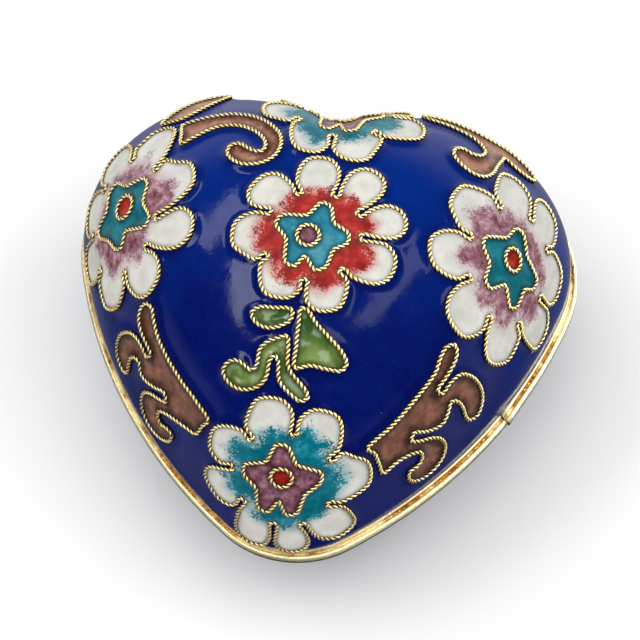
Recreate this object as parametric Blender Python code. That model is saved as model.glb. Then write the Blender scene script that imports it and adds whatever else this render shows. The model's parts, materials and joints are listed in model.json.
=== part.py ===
"""Heart-shaped enamelled trinket box with a lift-off domed lid.

A copper bowl and a copper domed lid are both shaped like a heart.  Each is
covered with cobalt enamel outside and pale enamel inside.  On the lid, gilt
wire walls stand on the cobalt ground and hold five enamelled flowers, five
scrolls and three leaves.  A gilt band runs round each rim, and a heart-shaped
lip inside the bowl's rim locates the lid.

Lengths below are millimetres, and the object is built in metres.  The box
stands on Z = 0, the point of the heart faces -Y, and +X is to its right.
"Inset" is a distance inward from the outer edge of the lid's gilt band.
"""

import math

import bmesh
import bpy
from mathutils import Vector
from mathutils.bvhtree import BVHTree
from mathutils.geometry import delaunay_2d_cdt

MM = 0.001

# Outline of the heart, seen from above.
LOBE_RADIUS = 17.2
LOBE_X = 14.8
LOBE_Y = 12.5
TIP_RADIUS = 12.6
TIP_Y = -17.1
SIDE_BULGE = 2.0
NOTCH_RADIUS = 2.5
BODY_X = -0.25
ARC_STEPS = (3, 6, 9, 2)
SEAM_PLACE = 0.62
SEAM_GAP = 0.3

# Heights.
FOOT_HEIGHT = 1.6
BOWL_DEPTH = 11.0
RIM_DROP = 1.75
CONTACT_GAP = 0.15
PARTING_Z = FOOT_HEIGHT + CONTACT_GAP + BOWL_DEPTH + RIM_DROP
LID_LIFT_AXIS = (0.0, 0.0)

# Dome of the lid.
DOME_BASE = 2.25
DOME_HEIGHT = 26.85
DOME_INSET = 0.7
DOME_RUN = 2.3
DOME_ROUND = 2.1
DOME_BLEND = 0.7
CROWN_Y = 4.0
DOME_RINGS = 9
FINE_RINGS = 60
FINE_FACTOR = 5

# Wall thicknesses, from outside to inside.
ENAMEL = 0.6
COPPER = 0.8
COUNTER_ENAMEL = 0.5
LAYER_GAP = 0.2

# Bowl: inset and depth below its rim, from the rim to the edge of the floor.
BOWL_PROFILE = (
    (1.6, 0.0),
    (2.25, 1.5),
    (3.2, 3.4),
    (4.5, 5.6),
    (6.2, 7.8),
    (8.2, 9.7),
    (10.2, 11.0),
)
FOOT_INSET = 10.5
FOOT_THICK = 1.0

# Rings of the rim: inset and height above the parting plane, round the section.
LID_BAND = (
    (1.2, 0.15),
    (0.2, 0.15),
    (0.0, 0.4),
    (0.0, 1.15),
    (0.2, 1.4),
    (0.75, 1.65),
    (0.85, 2.0),
    (1.2, 2.05),
)
LID_BAND_DEPTH = 1.2
BASE_BAND = ((2.4, -1.5), (1.75, -1.5), (1.6, -1.3), (1.6, -0.3), (1.75, -0.15), (2.4, -0.15))
LIP = ((3.35, -1.5), (2.65, -1.5), (2.65, 2.3), (2.85, 2.6), (3.35, 2.6))
LID_SHELL_SKIRT = 0.15
LID_COUNTER_START = 6.0

# Wires and the enamel between them.
WIRE_RADIUS = 0.33
WIRE_LIFT = 0.48
CELL_MARGIN = 0.44
CELL_LOW = 0.15
CELL_HIGH = 0.5
CELL_GRID = 2.6
CELL_CLEAR = 0.8
VALLEY_HALF = 0.43
VALLEY_NECK = 0.24
PETAL_SHOULDER = 0.66
PETAL_CHEEK = 0.92
PETAL_CHEEK_WIDTH = 0.64
STAR_TIP_HALF = 0.72
RING_POINTS = 8

# Flowers.  "plan" is the place on the lid where the flower's own plane touches
# the dome, and "heart" is the flower's middle in that plane.  A petal is its
# angle, reach and half width, and a valley is where two petals' wires end:
# its angle and distance from the middle.  A star point is angle and reach, and
# a star bay is the angle and distance of the corner between two points.
FLOWERS = {
    "centre": {
        "plan": (0.0, -0.5),
        "heart": (-0.65, 0.1),
        "ring": 1.35,
        "petals": ((20, 11.8, 2.15), (55, 12.1, 2.25), (90, 11.1, 2.35), (137, 9.9, 2.55),
                   (183, 9.0, 2.45), (252, 8.4, 2.35), (291, 9.6, 2.25), (346, 10.8, 2.55)),
        "valleys": ((6, 6.3), (33, 6.6), (66, 6.2), (108, 5.8),
                    (151, 5.6), (213, 5.4), (273, 5.7), (319, 5.9)),
        "star": ((3, 4.9), (70, 4.8), (155, 4.3), (247, 4.4), (295, 4.7)),
        "bays": ((-23, 3.5), (35, 3.4), (99, 2.6), (197, 2.6), (271, 2.6)),
        "shade": "red",
    },
    "front": {
        "plan": (0.0, -25.3),
        "heart": (-0.5, 0.0),
        "ring": 1.25,
        "petals": ((2, 10.1, 2.65), (63, 9.7, 2.45), (103, 9.8, 2.45), (166, 9.2, 2.45),
                   (210, 9.9, 2.55), (255, 12.0, 2.15), (279, 12.0, 2.05), (312, 11.8, 2.35)),
        "valleys": ((-32, 6.6), (27, 6.0), (81, 5.8), (133, 5.8),
                    (183, 5.9), (226, 6.2), (266, 7.0), (293, 7.2)),
        "star": ((6, 4.7), (94, 4.4), (179, 4.6), (250, 5.6), (286, 5.5)),
        "bays": ((-37, 3.5), (51, 2.5), (137, 2.6), (216, 3.5), (268, 3.2)),
        "shade": "teal",
    },
    "right": {
        "plan": (23.5, 5.0),
        "heart": (0.0, -0.4),
        "ring": 1.4,
        "petals": ((11, 11.5, 2.65), (60, 12.3, 2.45), (94, 11.4, 2.65), (154, 10.4, 2.95),
                   (201, 12.0, 2.65), (245, 12.6, 2.95), (291, 12.3, 3.05), (342, 12.8, 2.45)),
        "valleys": ((-10, 7.2), (38, 7.3), (73, 6.9), (119, 6.4),
                    (183, 6.7), (223, 7.6), (265, 8.0), (308, 7.6)),
        "star": ((-6, 5.4), (88, 4.2), (180, 5.0), (239, 5.7), (296, 5.8)),
        "bays": ((-33, 4.0), (36, 2.7), (131, 2.7), (215, 4.1), (267, 3.4)),
        "shade": "mauve",
    },
    "left": {
        "plan": (-23.5, 5.0),
        "heart": (-0.5, 1.0),
        "ring": 1.5,
        "petals": ((11, 10.2, 2.75), (74, 11.2, 2.65), (121, 11.6, 2.65), (166, 10.4, 2.65),
                   (197, 12.3, 2.45), (246, 12.2, 2.95), (291, 12.8, 2.65), (332, 12.2, 2.55)),
        "valleys": ((-30, 6.5), (41, 5.7), (94, 6.9), (138, 6.8),
                    (184, 8.0), (222, 8.4), (268, 8.4), (302, 7.7)),
        "star": ((-39, 5.7), (36, 4.3), (127, 5.0), (191, 6.1), (258, 5.3)),
        "bays": ((-83, 3.3), (-10, 3.4), (90, 2.8), (166, 4.0), (224, 4.6)),
        "shade": "mauve",
    },
    "back": {
        "plan": (1.4, 18.3),
        "heart": (-0.4, 2.2),
        "ring": 1.3,
        "petals": ((-3, 9.8, 2.6), (38, 8.3, 2.2), (72, 9.0, 2.2), (110, 9.4, 2.2),
                   (150, 9.6, 2.3), (197, 10.1, 2.5), (255, 10.3, 2.25), (287, 10.1, 2.45)),
        "valleys": ((-43, 6.1), (16, 5.9), (54, 5.9), (92, 5.9),
                    (130, 5.9), (174, 6.0), (221, 6.5), (268, 6.4)),
        "star": ((15, 4.7), (92, 4.6), (171, 4.7), (251, 5.3), (289, 5.2)),
        "bays": ((-27, 3.1), (53, 2.7), (131, 2.7), (212, 3.2), (270, 3.0)),
        "shade": "teal",
    },
}

# Scrolls and leaves: the line of each one's wire in its own plane, which
# touches the dome at "plan".
OUTLINES = {
    "scroll_front_right": {
        "plan": (15.3, -15.4),
        "line": ((-3.5, -7.5), (-3.1, -3.5), (-2.9, 0.5), (-2.8, 4.6), (-3.4, 6.4), (-3.4, 7.8),
                 (-2.6, 8.6), (-1.7, 8.1), (-1.2, 6.9), (-1.1, 5.0), (-1.0, 3.2), (-0.1, 3.2),
                 (0.0, 4.8), (0.6, 6.3), (1.9, 7.0), (4.0, 7.2), (6.0, 6.7), (7.7, 5.6), (8.4, 4.2),
                 (7.7, 3.2), (6.4, 3.1), (4.9, 3.6), (3.3, 3.8), (2.1, 3.3), (2.8, 2.0), (3.3, 0.7),
                 (2.6, -0.7), (1.4, -1.7), (0.3, -2.5), (0.9, -3.4), (2.1, -2.7), (3.5, -1.5),
                 (5.2, -0.9), (7.0, -1.2), (8.3, -2.4), (8.7, -4.0), (8.3, -5.6), (7.1, -6.8),
                 (5.7, -7.0), (4.8, -6.3), (5.1, -5.1), (4.8, -4.1), (3.7, -3.7), (2.7, -4.4),
                 (1.9, -5.5), (1.4, -7.0), (1.1, -8.5), (-0.7, -7.9), (-2.2, -7.4)),
    },
    "scroll_front_left": {
        "plan": (-15.6, -14.6),
        "line": ((3.2, -7.0), (2.8, -4.0), (2.0, -1.0), (1.4, 2.0), (1.1, 5.0), (1.3, 6.9), (1.5, 8.2),
                 (0.7, 9.0), (-0.4, 8.9), (-1.3, 8.0), (-1.6, 6.6), (-1.4, 5.0), (-1.3, 3.4),
                 (-2.3, 3.4), (-2.5, 4.8), (-3.1, 6.2), (-4.3, 7.2), (-6.3, 7.6), (-8.2, 7.2),
                 (-9.6, 6.2), (-10.1, 4.8), (-9.7, 3.7), (-8.6, 3.3), (-7.4, 3.9), (-6.2, 4.4),
                 (-5.0, 4.2), (-4.4, 3.4), (-5.0, 2.1), (-4.5, 1.0), (-3.3, -0.2), (-1.8, -1.5),
                 (-2.3, -2.5), (-3.6, -1.6), (-4.8, -0.6), (-6.3, -0.1), (-8.0, -0.6), (-9.2, -1.8),
                 (-9.5, -3.4), (-8.8, -4.9), (-7.5, -6.1), (-5.9, -6.7), (-4.7, -6.2), (-5.0, -5.2),
                 (-5.9, -4.3), (-5.7, -3.4), (-4.7, -3.0), (-3.6, -3.6), (-2.3, -4.9), (-1.0, -6.4),
                 (0.2, -7.7), (1.8, -7.3)),
    },
    "scroll_back_left": {
        "plan": (-13.0, 15.0),
        "line": ((-6.1, 2.3), (-4.3, 2.8), (-2.0, 3.2), (0.0, 3.3), (2.0, 3.0), (4.0, 2.2), (5.8, 0.9),
                 (7.2, -0.8), (7.7, -2.7), (7.3, -4.4), (6.0, -5.6), (4.0, -6.0), (2.3, -5.3),
                 (1.4, -4.1), (1.6, -3.0), (2.6, -2.7), (3.7, -3.3), (4.8, -3.9), (5.7, -3.8),
                 (5.9, -2.9), (5.5, -1.9), (4.3, -0.6), (2.7, 0.3), (1.0, 0.8), (-0.7, 0.7),
                 (-2.3, 0.0), (-4.0, -1.0), (-5.2, -1.6), (-5.7, 0.3)),
    },
    "scroll_far_left": {
        "plan": (-13.0, 15.0),
        "line": ((-9.9, 4.5), (-9.4, 6.2), (-8.3, 8.2), (-6.9, 10.0), (-5.3, 11.3), (-3.7, 11.5),
                 (-2.7, 10.4), (-2.9, 8.6), (-3.9, 6.8), (-5.2, 5.2), (-6.7, 4.1), (-8.4, 4.1)),
    },
    "scroll_back_right": {
        "plan": (17.0, 18.0),
        "line": ((2.8, -2.9), (1.5, -4.3), (0.0, -4.6), (-1.6, -3.9), (-2.6, -2.4), (-2.3, -1.1),
                 (-1.2, -0.6), (0.0, -1.0), (1.2, -0.6), (2.0, 0.6), (1.8, 1.9), (0.9, 3.0),
                 (-0.7, 3.9), (-3.0, 4.8), (-4.4, 5.2), (-5.0, 5.9), (-4.8, 6.7), (-3.8, 7.1),
                 (-1.8, 6.9), (0.6, 6.3), (2.6, 5.7), (4.2, 5.3),
                 (6.2, 5.2), (8.2, 4.5), (9.8, 3.3), (10.2, 2.1), (9.4, 1.2), (8.0, 0.9),
                 (6.5, 1.1), (5.2, 1.8), (4.4, 0.5), (3.6, -1.1)),
    },
    "leaf_right": {
        "plan": (-0.9, -13.9),
        "line": ((0.7, -2.0), (2.4, -1.6), (4.4, -1.8), (6.0, -1.8), (6.5, -0.9), (5.9, 0.3),
                 (4.7, 1.5), (3.3, 2.8), (2.3, 3.8), (1.6, 4.8), (0.8, 5.0), (0.6, 3.0), (0.6, 0.5)),
    },
    "leaf_left": {
        "plan": (-0.9, -13.9),
        "line": ((-0.3, 4.7), (-2.4, 4.8), (-4.2, 4.7), (-5.0, 4.1), (-4.8, 3.3), (-3.9, 2.6),
                 (-2.6, 2.4), (-1.3, 2.8), (-0.35, 3.5)),
    },
    "leaf_forked": {
        "plan": (-0.9, -13.9),
        "line": ((-0.5, 1.6), (-1.6, 1.3), (-2.8, 0.7), (-3.6, -0.2), (-3.7, -1.3), (-3.8, -2.2),
                 (-4.4, -2.7), (-5.2, -2.2), (-6.1, -1.7), (-7.0, -1.8), (-7.7, -2.5), (-7.8, -3.3),
                 (-7.2, -4.2), (-6.0, -4.9), (-4.6, -5.0), (-3.4, -4.5), (-2.6, -3.5), (-2.4, -2.3),
                 (-2.3, -1.4), (-1.8, -0.8), (-1.3, -1.4), (-1.2, -2.7), (-0.9, -3.8), (-0.2, -4.6),
                 (0.7, -5.3), (1.6, -5.8), (2.4, -5.4), (2.2, -4.6), (1.2, -3.5), (0.3, -2.6),
                 (-0.2, -1.4), (-0.3, 0.2)),
    },
}

# Finishes: colour, roughness and metallic value.
GILT = ((0.80, 0.55, 0.22), 0.28, 1.0)
BARE_COPPER = ((0.72, 0.36, 0.22), 0.4, 1.0)
COBALT = ((0.004, 0.014, 0.16), 0.12, 0.0)
PALE_BLUE = ((0.10, 0.45, 0.52), 0.2, 0.0)
WHITE = ((0.72, 0.70, 0.67), 0.2, 0.0)
TEAL = ((0.02, 0.19, 0.24), 0.18, 0.0)
MAUVE = ((0.24, 0.13, 0.17), 0.2, 0.0)
RED = ((0.35, 0.025, 0.015), 0.18, 0.0)
GREEN = ((0.10, 0.20, 0.035), 0.18, 0.0)
BROWN = ((0.20, 0.085, 0.055), 0.2, 0.0)
STAR_FINISH = {"red": TEAL, "teal": MAUVE, "mauve": TEAL}
MIDDLE_FINISH = {"red": MAUVE, "teal": RED, "mauve": RED}


def clear_scene():
    for item in list(bpy.data.objects):
        bpy.data.objects.remove(item, do_unlink=True)


# Plan outline ---------------------------------------------------------------


def heart_arcs():
    """Centre, radius, start and end angle of each arc from the tip to the notch."""
    lobe = Vector((LOBE_X, LOBE_Y))
    tip = Vector((0.0, TIP_Y))
    span = (lobe - tip).length
    side_radius = SIDE_BULGE * span
    to_lobe = side_radius - LOBE_RADIUS
    to_tip = side_radius - TIP_RADIUS
    along = (tip - lobe) / span
    reach = (to_lobe ** 2 - to_tip ** 2 + span ** 2) / (2 * span)
    across = math.sqrt(to_lobe ** 2 - reach ** 2)
    side = lobe + along * reach + Vector((along.y, -along.x)) * across
    notch_y = LOBE_Y + math.sqrt((LOBE_RADIUS + NOTCH_RADIUS) ** 2 - LOBE_X ** 2)
    notch = Vector((0.0, notch_y))
    tip_end = angle_of(tip - side)
    lobe_start = angle_of(lobe - side)
    lobe_end = angle_of(notch - lobe)
    notch_start = angle_of(lobe - notch)
    return (
        (tip, TIP_RADIUS, -math.pi / 2, tip_end),
        (side, side_radius, tip_end, lobe_start),
        (lobe, LOBE_RADIUS, lobe_start, lobe_end),
        (notch, -NOTCH_RADIUS, notch_start, -math.pi / 2),
    )


def angle_of(vector):
    return math.atan2(vector.y, vector.x)


def station(arc, fraction):
    """Point on an arc and the outward normal there."""
    centre, radius, start, end = arc
    turn = start + (end - start) * fraction
    ray = Vector((math.cos(turn), math.sin(turn)))
    normal = ray if radius > 0 else -ray
    return centre + ray * abs(radius), normal


def heart_stations(factor=1):
    """Points and normals round the whole heart, anticlockwise from the tip."""
    right = []
    for arc, steps in zip(heart_arcs(), ARC_STEPS):
        count = steps * factor
        right += [station(arc, i / count) for i in range(count)]
    notch = station(heart_arcs()[-1], 1.0)
    left = [(Vector((-p.x, p.y)), Vector((-n.x, n.y))) for p, n in right[:0:-1]]
    return right + [notch] + left


def heart_loop(stations, inset):
    return [point - normal * inset for point, normal in stations]


def raised(loop, z):
    return [Vector((p.x + BODY_X, p.y, z)) for p in loop]


# Dome -----------------------------------------------------------------------


def dome_rings(stations, depth, count, start=0.0):
    """Loops towards the crown, depth below the outer face.

    They begin at the rim, or start degrees of turn above it.
    """
    loop = heart_loop(stations, DOME_INSET + depth)
    crown = Vector((0.0, CROWN_Y))
    arms = [p - crown for p in loop]
    half_x = max(abs(a.x) for a in arms)
    half_y = (max(a.y for a in arms) - min(a.y for a in arms)) / 2
    ovals = [oval_arm(a, half_x, half_y) for a in arms]
    height = DOME_HEIGHT - depth
    first = math.radians(start)
    rings = []
    for step in range(count):
        reach = math.cos(first + (math.pi / 2 - first) * step / count)
        blend = (1 - reach) ** DOME_BLEND
        z = PARTING_Z + DOME_BASE + height * (1 - reach ** DOME_RUN) ** (1 / DOME_ROUND)
        plan = [crown + a.lerp(o, blend) * reach for a, o in zip(arms, ovals)]
        rings.append(raised(plan, z))
    return rings


def oval_arm(arm, half_x, half_y):
    """The arm's direction, cut off by an ellipse of the given half sizes."""
    ray = arm.normalized()
    size = half_x * half_y / math.hypot(half_y * ray.x, half_x * ray.y)
    return ray * size


def crown_point(depth):
    return Vector((BODY_X, CROWN_Y, PARTING_Z + DOME_BASE + DOME_HEIGHT - depth))


# Bodies ---------------------------------------------------------------------


def finish(name, look):
    colour, roughness, metallic = look
    material = bpy.data.materials.new(name)
    material.use_nodes = True
    shader = material.node_tree.nodes["Principled BSDF"]
    shader.inputs["Base Color"].default_value = (*colour, 1.0)
    shader.inputs["Roughness"].default_value = roughness
    shader.inputs["Metallic"].default_value = metallic
    material.diffuse_color = (*colour, 1.0)
    return material


def attach(item, name, look, parent, anchor):
    """Link an object to the scene under its body's empty, with its own finish."""
    bpy.context.scene.collection.objects.link(item)
    item.data.materials.append(finish(name, look))
    item.parent = parent
    item.location = Vector(anchor) * MM - parent.location


def body_from_bmesh(bm, name, look, parent, anchor=(0.0, 0.0, 0.0), crease=40.0):
    bmesh.ops.translate(bm, verts=bm.verts, vec=-Vector(anchor))
    bmesh.ops.scale(bm, verts=bm.verts, vec=(MM, MM, MM))
    bmesh.ops.recalc_face_normals(bm, faces=bm.faces)
    mesh = bpy.data.meshes.new(name)
    bm.to_mesh(mesh)
    bm.free()
    mesh.shade_smooth()
    mesh.set_sharp_from_angle(angle=math.radians(crease))
    attach(bpy.data.objects.new(name, mesh), name, look, parent, anchor)


def add_loop(bm, loop):
    return [bm.verts.new(p) for p in loop]


def bridge(bm, lower, upper, closed=True):
    count = len(lower)
    last = count if closed else count - 1
    for i in range(last):
        j = (i + 1) % count
        bm.faces.new((lower[i], lower[j], upper[j], upper[i]))


def fan(bm, loop, pole):
    tip = bm.verts.new(pole)
    count = len(loop)
    for i in range(count):
        bm.faces.new((loop[i], loop[(i + 1) % count], tip))


def shell(name, look, parent, loops, first_pole, last_pole):
    """A skin through the loops, closed at each end by a pole."""
    bm = bmesh.new()
    rows = [add_loop(bm, loop) for loop in loops]
    for lower, upper in zip(rows, rows[1:]):
        bridge(bm, lower, upper)
    fan(bm, rows[0], first_pole)
    fan(bm, rows[-1], last_pole)
    body_from_bmesh(bm, name, look, parent)


def hoop(name, look, parent, stations, section):
    """A closed heart-shaped ring with the given section of inset and height."""
    bm = bmesh.new()
    rows = [add_loop(bm, raised(heart_loop(stations, inset), z)) for inset, z in section]
    for lower, upper in zip(rows, rows[1:] + rows[:1]):
        bridge(bm, lower, upper)
    body_from_bmesh(bm, name, look, parent)


def lid_skin(name, look, parent, stations, depth, thick, start=0.0, skirt=None):
    """One layer of the lid between two domes, with an optional straight skirt."""
    outer = dome_rings(stations, depth, DOME_RINGS, start)
    inner = dome_rings(stations, depth + thick, DOME_RINGS, start)
    edge = []
    if skirt is not None:
        outer_foot = heart_loop(stations, DOME_INSET + depth)
        inner_foot = heart_loop(stations, DOME_INSET + depth + thick)
        edge = [raised(outer_foot, PARTING_Z + skirt), raised(inner_foot, PARTING_Z + skirt)]
    loops = outer[::-1] + edge + inner
    shell(name, look, parent, loops, crown_point(depth), crown_point(depth + thick))


def layered(depth):
    """The bowl's profile moved inward by depth, square to the wall."""
    moved = []
    last = len(BOWL_PROFILE) - 1
    for i, (inset, drop) in enumerate(BOWL_PROFILE):
        before = BOWL_PROFILE[max(i - 1, 0)]
        after = BOWL_PROFILE[min(i + 1, last)]
        run = Vector((after[0] - before[0], after[1] - before[1])).normalized()
        across = Vector((run.y, -run.x))
        if i == 0:
            across = Vector((1.0, 0.0))
        if i == last:
            across = Vector((0.0, -1.0))
        moved.append((inset + across.x * depth, drop + across.y * depth))
    return moved


def bowl_skin(name, look, parent, stations, depth, thick):
    rim_z = PARTING_Z - RIM_DROP
    outer = [raised(heart_loop(stations, i), rim_z - d) for i, d in layered(depth)]
    inner = [raised(heart_loop(stations, i), rim_z - d) for i, d in layered(depth + thick)]
    low = Vector((BODY_X, CROWN_Y, outer[-1][0].z))
    high = Vector((BODY_X, CROWN_Y, inner[-1][0].z))
    shell(name, look, parent, outer[::-1] + inner, low, high)


def lid_band(parent):
    """Gilt strip bent round the lid's rim, its two ends meeting at a butt seam."""
    arcs = heart_arcs()
    half_gap = SEAM_GAP / 2 / abs(arcs[1][1] * (arcs[1][3] - arcs[1][2]))
    stations = heart_stations()
    cut = ARC_STEPS[0] + math.ceil(SEAM_PLACE * ARC_STEPS[1])
    start = station(arcs[1], SEAM_PLACE + half_gap)
    end = station(arcs[1], SEAM_PLACE - half_gap)
    path = [start] + stations[cut:] + stations[:cut] + [end]
    bm = bmesh.new()
    rows = []
    for point, normal in path:
        row = []
        for inset, z in LID_BAND:
            shift = BODY_X * inset / LID_BAND_DEPTH
            place = point - normal * inset
            row.append(bm.verts.new((place.x + shift, place.y, PARTING_Z + z)))
        rows.append(row)
    for near, far in zip(rows, rows[1:]):
        bridge(bm, near, far)
    bm.faces.new(rows[0])
    bm.faces.new(rows[-1][::-1])
    body_from_bmesh(bm, "lid_rim_band", GILT, parent)


# Placing flat outlines on the dome ------------------------------------------


def fine_dome():
    """A close-set copy of the dome's outer face, for placing the ornament."""
    rings = dome_rings(heart_stations(FINE_FACTOR), 0.0, FINE_RINGS)
    points = [p for ring in rings for p in ring] + [crown_point(0.0)]
    count = len(rings[0])
    faces = []
    for row in range(len(rings) - 1):
        for i in range(count):
            j = (i + 1) % count
            low, high = row * count, (row + 1) * count
            faces.append((low + i, low + j, high + j, high + i))
    top = (len(rings) - 1) * count
    faces += [(top + i, top + (i + 1) % count, len(points) - 1) for i in range(count)]
    return BVHTree.FromPolygons(points, faces)


class Patch:
    """A plane that touches the dome, and the way back from it to the dome."""

    def __init__(self, dome, plan):
        self.dome = dome
        high = Vector((plan[0] + BODY_X, plan[1], PARTING_Z + 2 * DOME_HEIGHT))
        self.origin, self.normal = dome.ray_cast(high, Vector((0.0, 0.0, -1.0)))[:2]
        self.up = (Vector((0.0, 1.0, 0.0)) - self.normal * self.normal.y).normalized()
        self.right = self.up.cross(self.normal)

    def place(self, flat, lift):
        """The point on the dome behind a flat point, raised by lift."""
        aim = self.origin + self.right * flat[0] + self.up * flat[1] + self.normal * DOME_HEIGHT
        hit, normal = self.dome.ray_cast(aim, -self.normal)[:2]
        return hit + normal * lift


def polar(middle, degrees, distance):
    turn = math.radians(degrees)
    return Vector((middle[0] + distance * math.cos(turn), middle[1] + distance * math.sin(turn)))


def keep_off(point, corner, ray, side):
    """Push a point sideways so that it stays on its own side of a valley's line."""
    across = Vector((-ray.y, ray.x)) * side
    gap = (point - corner).dot(across)
    return point + across * max(VALLEY_HALF - gap, 0.0)


def petal_line(flower):
    """The wire's line round all petals, anticlockwise, dipping into each valley."""
    middle = flower["heart"]
    petals = flower["petals"]
    tips = [polar(middle, angle, reach) for angle, reach, _ in petals]
    corners = [polar(middle, angle, reach) for angle, reach in flower["valleys"]]
    count = len(petals)
    rays = [((tips[i - 1] + tips[i]) / 2 - corners[i]).normalized() for i in range(count)]
    line = []
    for i in range(count):
        j = (i + 1) % count
        width = petals[i][2]
        root = (corners[i] + corners[j]) / 2
        axis = tips[i] - root
        across = Vector((-axis.y, axis.x)).normalized()
        neck = VALLEY_NECK * axis.length
        first = [
            corners[i].copy(),
            corners[i] + rays[i] * neck,
            root + axis * PETAL_SHOULDER - across * width,
            root + axis * PETAL_CHEEK - across * width * PETAL_CHEEK_WIDTH,
        ]
        second = [
            root + axis * PETAL_CHEEK + across * width * PETAL_CHEEK_WIDTH,
            root + axis * PETAL_SHOULDER + across * width,
            corners[j] + rays[j] * neck,
            corners[j].copy(),
        ]
        line += [keep_off(p, corners[i], rays[i], 1) for p in first]
        line.append(tips[i])
        line += [keep_off(p, corners[j], rays[j], -1) for p in second]
    return line


def star_line(flower):
    """The wire's line round the star, each point blunt and each bay one corner."""
    middle = flower["heart"]
    line = []
    for (angle, reach), (bay_angle, bay_reach) in zip(flower["star"], flower["bays"]):
        spread = math.degrees(STAR_TIP_HALF / reach)
        line.append(polar(middle, bay_angle, bay_reach))
        line.append(polar(middle, angle - spread, reach))
        line.append(polar(middle, angle + spread, reach))
    return line


def ring_line(flower, grow=0.0):
    step = 360.0 / RING_POINTS
    return [polar(flower["heart"], i * step, flower["ring"] + grow) for i in range(RING_POINTS)]


def area_of(line):
    return sum(a.x * b.y - b.x * a.y for a, b in zip(line, line[1:] + line[:1])) / 2


def offset(line, distance):
    """Move a closed line outward by distance, or inward when it is negative."""
    turn = 1 if area_of(line) > 0 else -1
    moved = []
    for i, point in enumerate(line):
        before = (point - line[i - 1]).normalized()
        after = (line[(i + 1) % len(line)] - point).normalized()
        first = Vector((before.y, -before.x)) * turn
        second = Vector((after.y, -after.x)) * turn
        moved.append(point + (first + second) * distance / (1 + first.dot(second)))
    return moved


def inside(point, line):
    """Whether a flat point lies within a closed line."""
    hits = 0
    for a, b in zip(line, line[1:] + line[:1]):
        if (a.y > point.y) != (b.y > point.y):
            hits += point.x < a.x + (point.y - a.y) * (b.x - a.x) / (b.y - a.y)
    return hits % 2 == 1


def clear_of(point, lines):
    """Whether a flat point is at least the grid's clearance from every line."""
    for line in lines:
        for a, b in zip(line, line[1:] + line[:1]):
            run = b - a
            along = min(max((point - a).dot(run) / run.length_squared, 0.0), 1.0)
            if (a + run * along - point).length < CELL_CLEAR:
                return False
    return True


def within(point, outer, holes):
    return inside(point, outer) and not any(inside(point, hole) for hole in holes)


def middle_of(points):
    return sum(points, Vector((0.0, 0.0))) / len(points)


def grid_points(outer, holes):
    """Points on a triangular grid inside the outer line and outside the holes."""
    left = min(p.x for p in outer)
    low = min(p.y for p in outer)
    columns = int((max(p.x for p in outer) - left) / CELL_GRID) + 2
    row_step = CELL_GRID * math.sqrt(3) / 2
    rows = int((max(p.y for p in outer) - low) / row_step) + 2
    found = []
    for row in range(rows):
        for column in range(columns):
            stagger = 0.5 * (row % 2)
            point = Vector((left + (column + stagger) * CELL_GRID, low + row * row_step))
            if within(point, outer, holes) and clear_of(point, [outer] + holes):
                found.append(point)
    return found


def cell(name, look, parent, patch, outer, holes=()):
    """A slab of enamel that fills a flat outline, laid on the dome."""
    holes = list(holes)
    flat = []
    edges = []
    for line in [outer] + holes:
        start = len(flat)
        flat += line
        edges += [(start + i, start + (i + 1) % len(line)) for i in range(len(line))]
    flat += grid_points(outer, holes)
    spots, _, faces = delaunay_2d_cdt(flat, edges, [], 0, MM)[:3]
    kept = [face for face in faces if within(middle_of([spots[i] for i in face]), outer, holes)]
    bm = bmesh.new()
    high = [bm.verts.new(patch.place(p, CELL_HIGH)) for p in spots]
    low = [bm.verts.new(patch.place(p, CELL_LOW)) for p in spots]
    sides = {}
    for face in kept:
        bm.faces.new([high[i] for i in face])
        bm.faces.new([low[i] for i in reversed(face)])
        for i, j in zip(face, face[1:] + face[:1]):
            sides[(i, j)] = True
    for i, j in sides:
        if (j, i) not in sides:
            bm.faces.new((high[i], low[i], low[j], high[j]))
    loose = [v for v in bm.verts if not v.link_faces]
    bmesh.ops.delete(bm, geom=loose, context="VERTS")
    body_from_bmesh(bm, name, look, parent, patch.origin)


def wire(name, parent, patch, line):
    """A gilt wire on edge, bent along a closed line on the dome."""
    curve = bpy.data.curves.new(name, "CURVE")
    curve.dimensions = "3D"
    curve.bevel_depth = WIRE_RADIUS * MM
    curve.bevel_resolution = 0
    spline = curve.splines.new("POLY")
    spline.points.add(len(line) - 1)
    spline.use_cyclic_u = True
    for knot, flat in zip(spline.points, line):
        place = (patch.place(flat, WIRE_LIFT) - patch.origin) * MM
        knot.co = (*place, 1.0)
    attach(bpy.data.objects.new(name, curve), name, GILT, parent, patch.origin)


def flower_pieces(name, flower, dome, parent):
    patch = Patch(dome, flower["plan"])
    petals = petal_line(flower)
    star = star_line(flower)
    shade = flower["shade"]
    wire(f"{name}_petal_wire", parent, patch, petals)
    wire(f"{name}_star_wire", parent, patch, star)
    wire(f"{name}_ring_wire", parent, patch, ring_line(flower))
    petal_edge = offset(petals, -CELL_MARGIN)
    star_gap = offset(star, CELL_MARGIN)
    cell(f"{name}_petal_enamel", WHITE, parent, patch, petal_edge, [star_gap])
    star_edge = offset(star, -CELL_MARGIN)
    ring_gap = ring_line(flower, CELL_MARGIN)
    cell(f"{name}_star_enamel", STAR_FINISH[shade], parent, patch, star_edge, [ring_gap])
    ring_edge = ring_line(flower, -CELL_MARGIN)
    cell(f"{name}_middle_enamel", MIDDLE_FINISH[shade], parent, patch, ring_edge)


def outline_pieces(name, outline, dome, parent):
    patch = Patch(dome, outline["plan"])
    line = [Vector(p) for p in outline["line"]]
    look = GREEN if name.startswith("leaf") else BROWN
    wire(f"{name}_wire", parent, patch, line)
    cell(f"{name}_enamel", look, parent, patch, offset(line, -CELL_MARGIN))


# The two halves of the box --------------------------------------------------


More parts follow.
